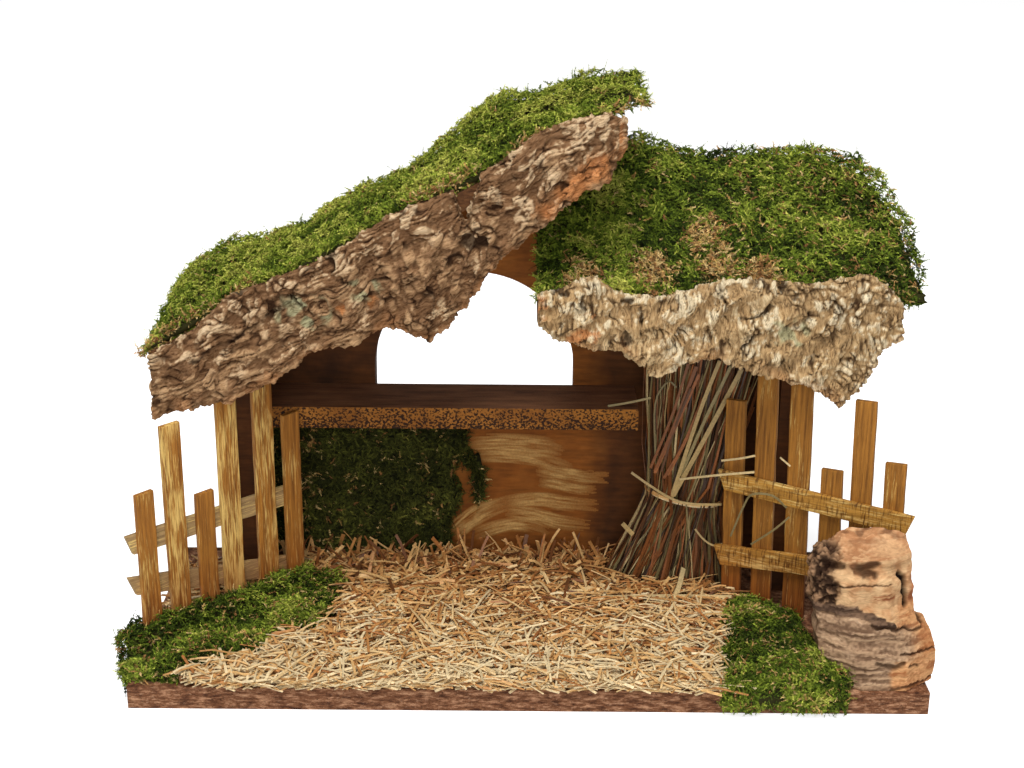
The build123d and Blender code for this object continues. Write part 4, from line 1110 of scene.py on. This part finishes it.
def sheaf(count, seed, finish):
    """Stalks that spread from the tied waist to the foot and the top."""
    rng = np.random.default_rng(seed)
    angle = rng.uniform(0, 2 * math.pi, count)
    reach = np.sqrt(rng.uniform(0.45, 1.0, count))
    rings = 9
    steps = np.linspace(0, 1, rings)
    heights = np.stack([np.full(count, sheaf_foot[2]), sheaf_waist[2] + rng.normal(0, 0.004, count),
                        sheaf_top[2] - rng.exponential(0.012, count)], 1)
    turns = angle[:, None] + np.array([0.0, 0.25, 0.5]) + rng.normal(0, 0.22, (count, 3))
    halves = np.array([sheaf_foot_half, sheaf_waist_half, sheaf_top_half])
    spread = np.stack([np.cos(turns), np.sin(turns)], -1) * halves[None] * reach[:, None, None]
    spread = spread * rng.uniform(0.9, 1.1, (count, 3, 1))
    knots = np.concatenate([spread + np.array([sheaf_foot, sheaf_waist, sheaf_top])[None, :, :2],
                            heights[..., None]], -1)
    lower = 1 - (1 - np.clip(steps / 0.4, 0, 1)) ** 1.5
    upper = np.clip((steps - 0.4) / 0.6, 0, 1) ** 1.25
    paths = (knots[:, None, 0] + (knots[:, None, 1] - knots[:, None, 0]) * lower[None, :, None]
             + (knots[:, None, 2] - knots[:, None, 1]) * upper[None, :, None])
    wobble = rng.normal(0, 0.0011, (count, rings, 3))
    paths = paths + np.cumsum(wobble, axis=1) * np.array([1, 1, 0])
    side = unit(rng.normal(size=(count, 3)) * np.array([1, 1, 0.1]))
    width = np.repeat(rng.uniform(0.0005, 0.0017, count)[:, None], rings, 1)
    taper = 1 - 0.45 * np.clip((steps - 0.6) / 0.4, 0, 1)
    kinds = rng.choice(len(sheaf_tints), count, p=sheaf_shares / sheaf_shares.sum())
    stalk_piece("straw_sheaf_stalks", paths, side, width * taper, width * taper * 0.5, sheaf_tints, kinds,
                finish, ["straw_sheaf"])


def sheaf_tie(seed, finish):
    """A few straws wound round the waist, lower on the right."""
    rng = np.random.default_rng(seed)
    count = 6
    rings = 33
    angle = np.linspace(0, 2 * math.pi, rings)
    turn = angle[None] + rng.uniform(0, 2 * math.pi, (count, 1))
    half = sheaf_waist_half + 0.0022
    paths = np.stack([sheaf_waist[0] + half[0] * np.cos(turn) * rng.uniform(0.98, 1.05, (count, 1)),
                      sheaf_waist[1] + half[1] * np.sin(turn) * rng.uniform(0.98, 1.06, (count, 1)),
                      sheaf_waist[2] - 0.004 * np.cos(turn) + rng.normal(0, 0.0012, (count, 1))], -1)
    side = np.tile(up, (count, 1))
    width = np.full((count, rings), 0.0012)
    kinds = rng.integers(0, 4, count)
    stalk_piece("sheaf_tie_straws", paths, side, width, width * 0.5, straw_tints, kinds, finish,
                ["sheaf_tie"])


# Wood
def worn_strip(node, finish, seed, ease_edge=0.0005, waver=0.0003):
    """A CAD strip with eased edges and slightly wavering faces, in the node's place."""
    form = bmesh.new()
    form.from_mesh(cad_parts[node].data)
    bmesh.ops.remove_doubles(form, verts=form.verts, dist=1e-6)
    bmesh.ops.dissolve_limit(form, angle_limit=math.radians(1), verts=form.verts, edges=form.edges)
    bmesh.ops.bevel(form, geom=form.edges[:], offset=ease_edge, segments=2, profile=0.6, affect="EDGES")
    low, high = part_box(node)
    upright = high.z - low.z > high.x - low.x
    axis = Vector((0, 0, 1)) if upright else Vector((1, 0, 0))
    start, end = (low.z, high.z) if upright else (low.x, high.x)
    for place in np.arange(start, end, 0.006)[1:]:
        bmesh.ops.bisect_plane(form, geom=form.verts[:] + form.edges[:] + form.faces[:], dist=1e-7,
                               plane_co=axis * float(place), plane_no=axis)
    points = np.array([vertex.co for vertex in form.verts])
    form.verts.index_update()
    faces = [[vertex.index for vertex in face.verts] for face in form.faces]
    form.free()
    drift = np.stack([noise_at(points, 0.014, seed + k * 3.0) for k in range(3)], 1)
    add_piece(node + "_worn", points + drift * waver, faces, finish, [node])


def fences():
    """Pickets and rails: golden stain under pale dry-brushed patches."""
    brushed = {"left": (0.09, 0.13, 0.08, 0.17, 0.12, 0.07), "right": (0.04, 0.05, 0.07, 0.04, 0.05, 0.05)}
    stains = {"left": ((110, 64, 24), (188, 126, 50)), "right": ((100, 60, 20), (178, 120, 46))}
    picket_brush = (230, 192, 112)
    upright = (False, False, True)
    for fence, amounts in brushed.items():
        for number, amount in enumerate(amounts, start=1):
            node = f"{fence}_picket_{number}"
            shift = number * 1.7 + len(fence)
            finish = stained_wood(node + "_stain", stains[fence], picket_brush, upright, amount, shift)
            worn_strip(node, finish, shift)
    rails = {"left": (math.radians(42.7), ((132, 104, 68), (184, 152, 104)), None),
             "right": (math.radians(-27.4), ((132, 88, 28), (200, 146, 62)), (0.0012, 0.01, 0.008))}
    rail_brush = (232, 200, 124)
    rail_brushed = 0.12
    level = (True, False, False)
    for fence, (turn, stain, ticks) in rails.items():
        for number, height in enumerate(("upper", "lower")):
            node = f"{fence}_{height}_rail"
            finish = stained_wood(node + "_stain", stain, rail_brush, level, rail_brushed,
                                  number * 2.3 + len(fence), (0.0, 0.0, turn), ticks)
            worn_strip(node, finish, number + 40.0)


# Cream brush strokes on the back wall: points along each stroke in X and Z, and its width
strokes = (
    (((-0.038, 0.0820), (-0.014, 0.0835), (0.008, 0.0820), (0.026, 0.0780)), 0.016),
    (((-0.034, 0.0765), (-0.010, 0.0765), (0.010, 0.0740), (0.034, 0.0660)), 0.010),
    (((0.002, 0.0690), (0.018, 0.0665), (0.034, 0.0640), (0.052, 0.0635)), 0.010),
    (((0.004, 0.0615), (0.018, 0.0590), (0.030, 0.0565), (0.044, 0.0565)), 0.008),
    (((-0.046, 0.0250), (-0.034, 0.0360), (-0.022, 0.0440), (-0.002, 0.0510)), 0.014),
    (((-0.018, 0.0470), (0.004, 0.0500), (0.022, 0.0475), (0.050, 0.0455)), 0.011),
    (((-0.016, 0.0425), (0.004, 0.0400), (0.020, 0.0355), (0.044, 0.0325)), 0.011),
    (((-0.034, 0.0260), (-0.014, 0.0330), (0.002, 0.0330), (0.018, 0.0265)), 0.010))
wall_ochre = (150, 88, 30)
stroke_cream = (222, 178, 108)
bristle_gap = 0.00035


def stroke_cover(along, across, width, number):
    """How thickly a stroke covers the wall: ridged by the bristles, thin at its ends and sides."""
    trail = np.stack([along * 5, across * width / 0.0011, np.full(along.shape, number * 3.3)], -1)
    trail = trail.reshape(-1, 3)
    bristle = noise_at(trail, 1.0) + 0.5 * noise_at(trail, 0.45)
    fade = ease(0.0, 0.30, along.ravel()) * ease(1.0, 0.45, along.ravel())
    fade = fade * ease(0.5, 0.25, np.abs(across.ravel()))
    return np.clip(fade * (0.62 + 0.75 * bristle), 0, 1)


def brush_strokes(finish):
    """Each stroke is a thin film with ridges from the bristles and ragged ends."""
    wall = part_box("loft_shelf")[1].y   # the shelf's back lies against the wall
    steps = 70
    for number, (knots, width) in enumerate(strokes, start=1):
        line = smooth_line(knots, steps)
        heading = unit(np.gradient(line, axis=0))
        lanes = int(width / bristle_gap)
        offsets = np.linspace(-0.5, 0.5, lanes)
        x = line[:, None, 0] - heading[:, None, 1] * offsets * width
        z = line[:, None, 1] + heading[:, None, 0] * offsets * width
        along = np.broadcast_to(np.linspace(0, 1, steps)[:, None], x.shape)
        across = np.broadcast_to(offsets[None], x.shape)
        cover = stroke_cover(along, across, width, number)
        points = np.stack([x.ravel(), wall - 0.0001 - 0.00025 * cover, z.ravel()], 1)
        start = np.arange(steps - 1)[:, None] * lanes + np.arange(lanes - 1)
        faces = np.stack([start, start + 1, start + lanes + 1, start + lanes], -1).reshape(-1, 4)
        faces = faces[cover[faces].max(1) > 0.10]
        used, faces = np.unique(faces, return_inverse=True)
        tints = shades(wall_ochre, stroke_cream, cover * 0.9)
        add_piece(f"back_wall_stroke_{number}", points[used], faces.reshape(-1, 4), finish, [],
                  tints[used], smooth=True)


# Scene
bpy.context.scene.view_settings.view_transform = "Standard"
add_camera()
add_world(strength=0.20)
lamp_target = (0.0, 0.0, 0.12)
add_area_light("key", (-0.15, -0.75, 2.0), lamp_target, size=1.3, watts=42.0)
add_area_light("fill", (0.1, -1.9, 0.75), lamp_target, size=1.2, watts=14.0)
add_floor(span=12.0, glow=0.75)

moss_finish = tinted("moss_leaf", roughness=0.75, specular=0.12, grain=0.002, contrast=40, depth=0.0002)
straw_finish = tinted("straw", roughness=0.5, specular=0.35, grain=0.0011, contrast=60, depth=0.0001)
paint_finish = tinted("stroke_paint", roughness=0.7, specular=0.2, grain=0.001, contrast=50, depth=0.0001)

base_stain = (((64, 34, 18), (120, 76, 48), (196, 148, 112)), (50, 28, 17), (214, 170, 134), 0.0013)
roof_stain = (((76, 46, 26), (100, 64, 36), (124, 84, 50)), (44, 28, 16), (140, 104, 70), 0.0018)
for shown, finish in (
        ("base_board", chipboard("base_stain", *base_stain)),
        ("back_wall", wall_paint("back_wall_paint")),
        ("left_side_wall", wall_paint("left_wall_paint")),
        ("right_side_wall", wall_paint("right_wall_paint")),
        ("loft_shelf", shelf_board("shelf_stain")),
        ("left_roof_panel", chipboard("left_roof_stain", *roof_stain)),
        ("right_roof_panel", chipboard("right_roof_stain", *roof_stain)),
        ("base_nails", nail_steel("base_nail_steel")),
        ("wall_nails", nail_steel("wall_nail_steel")),
        ("roof_nails", nail_steel("roof_nail_steel"))):
    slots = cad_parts[shown].data.materials
    slots.clear()
    slots.append(finish)

# The third colour of each palette is its bed's: dark, as painted shade deep in the moss.
roof_palette = (roof_greens, roof_shares, (48, 46, 16))
wall_palette = (wall_greens, wall_shares, (30, 30, 12))
moss_mats = (
    ("left_roof_moss", (9500, 9500), facing_up, roof_palette, left_roof_tone, left_roof_push),
    ("right_roof_moss", (9000, 9000), facing_up, roof_palette, right_roof_tone, right_roof_push),
    ("left_corner_moss", (9000,), facing_up, roof_palette, heap_tone, left_heap_push),
    ("right_corner_moss", (8000,), facing_up, roof_palette, heap_tone, np.zeros_like),
    ("back_wall_moss", (9000,), facing_out, wall_palette, even_tone, np.zeros_like),
    ("wall_moss_tuft", (600,), facing_out, wall_palette, even_tone, tuft_push, tuft_frond_length))
for seed, mat in enumerate(moss_mats, start=1):
    moss(seed, moss_finish, *mat)
left_slope = math.radians(28)
bark("left_roof_bark", left_slope, seed=11.0, flute=(0.0140, 0.008, 0.0026), knobs=(0.0, 0.0),
     raw_from=-0.012, tans=left_tans, marks=left_marks,
     finish=cork("left_bark", (0.0, -left_slope, 0.0), fibre=(0.0045, 0.004, 0.0008), contrast=95))
bark("right_roof_bark", 0.0, seed=53.0, flute=(0.0026, 0.008, 0.0100), knobs=(0.115, 14.0),
     raw_from=0.25, tans=right_tans, marks=right_marks,
     finish=cork("right_bark", no_turn, fibre=(0.0008, 0.004, 0.0060), contrast=95))
stump(cork("stump_bark", no_turn, fibre=(0.010, 0.010, 0.0011), contrast=36))
floor_straw(count=7600, front_count=1100, fence_count=700, seed=21, finish=straw_finish)
sheaf(count=700, seed=22, finish=straw_finish)
sheaf_core(straw_finish)
sheaf_strays(straw_finish)
sheaf_tie(seed=23, finish=straw_finish)
fences()
brush_strokes(paint_finish)
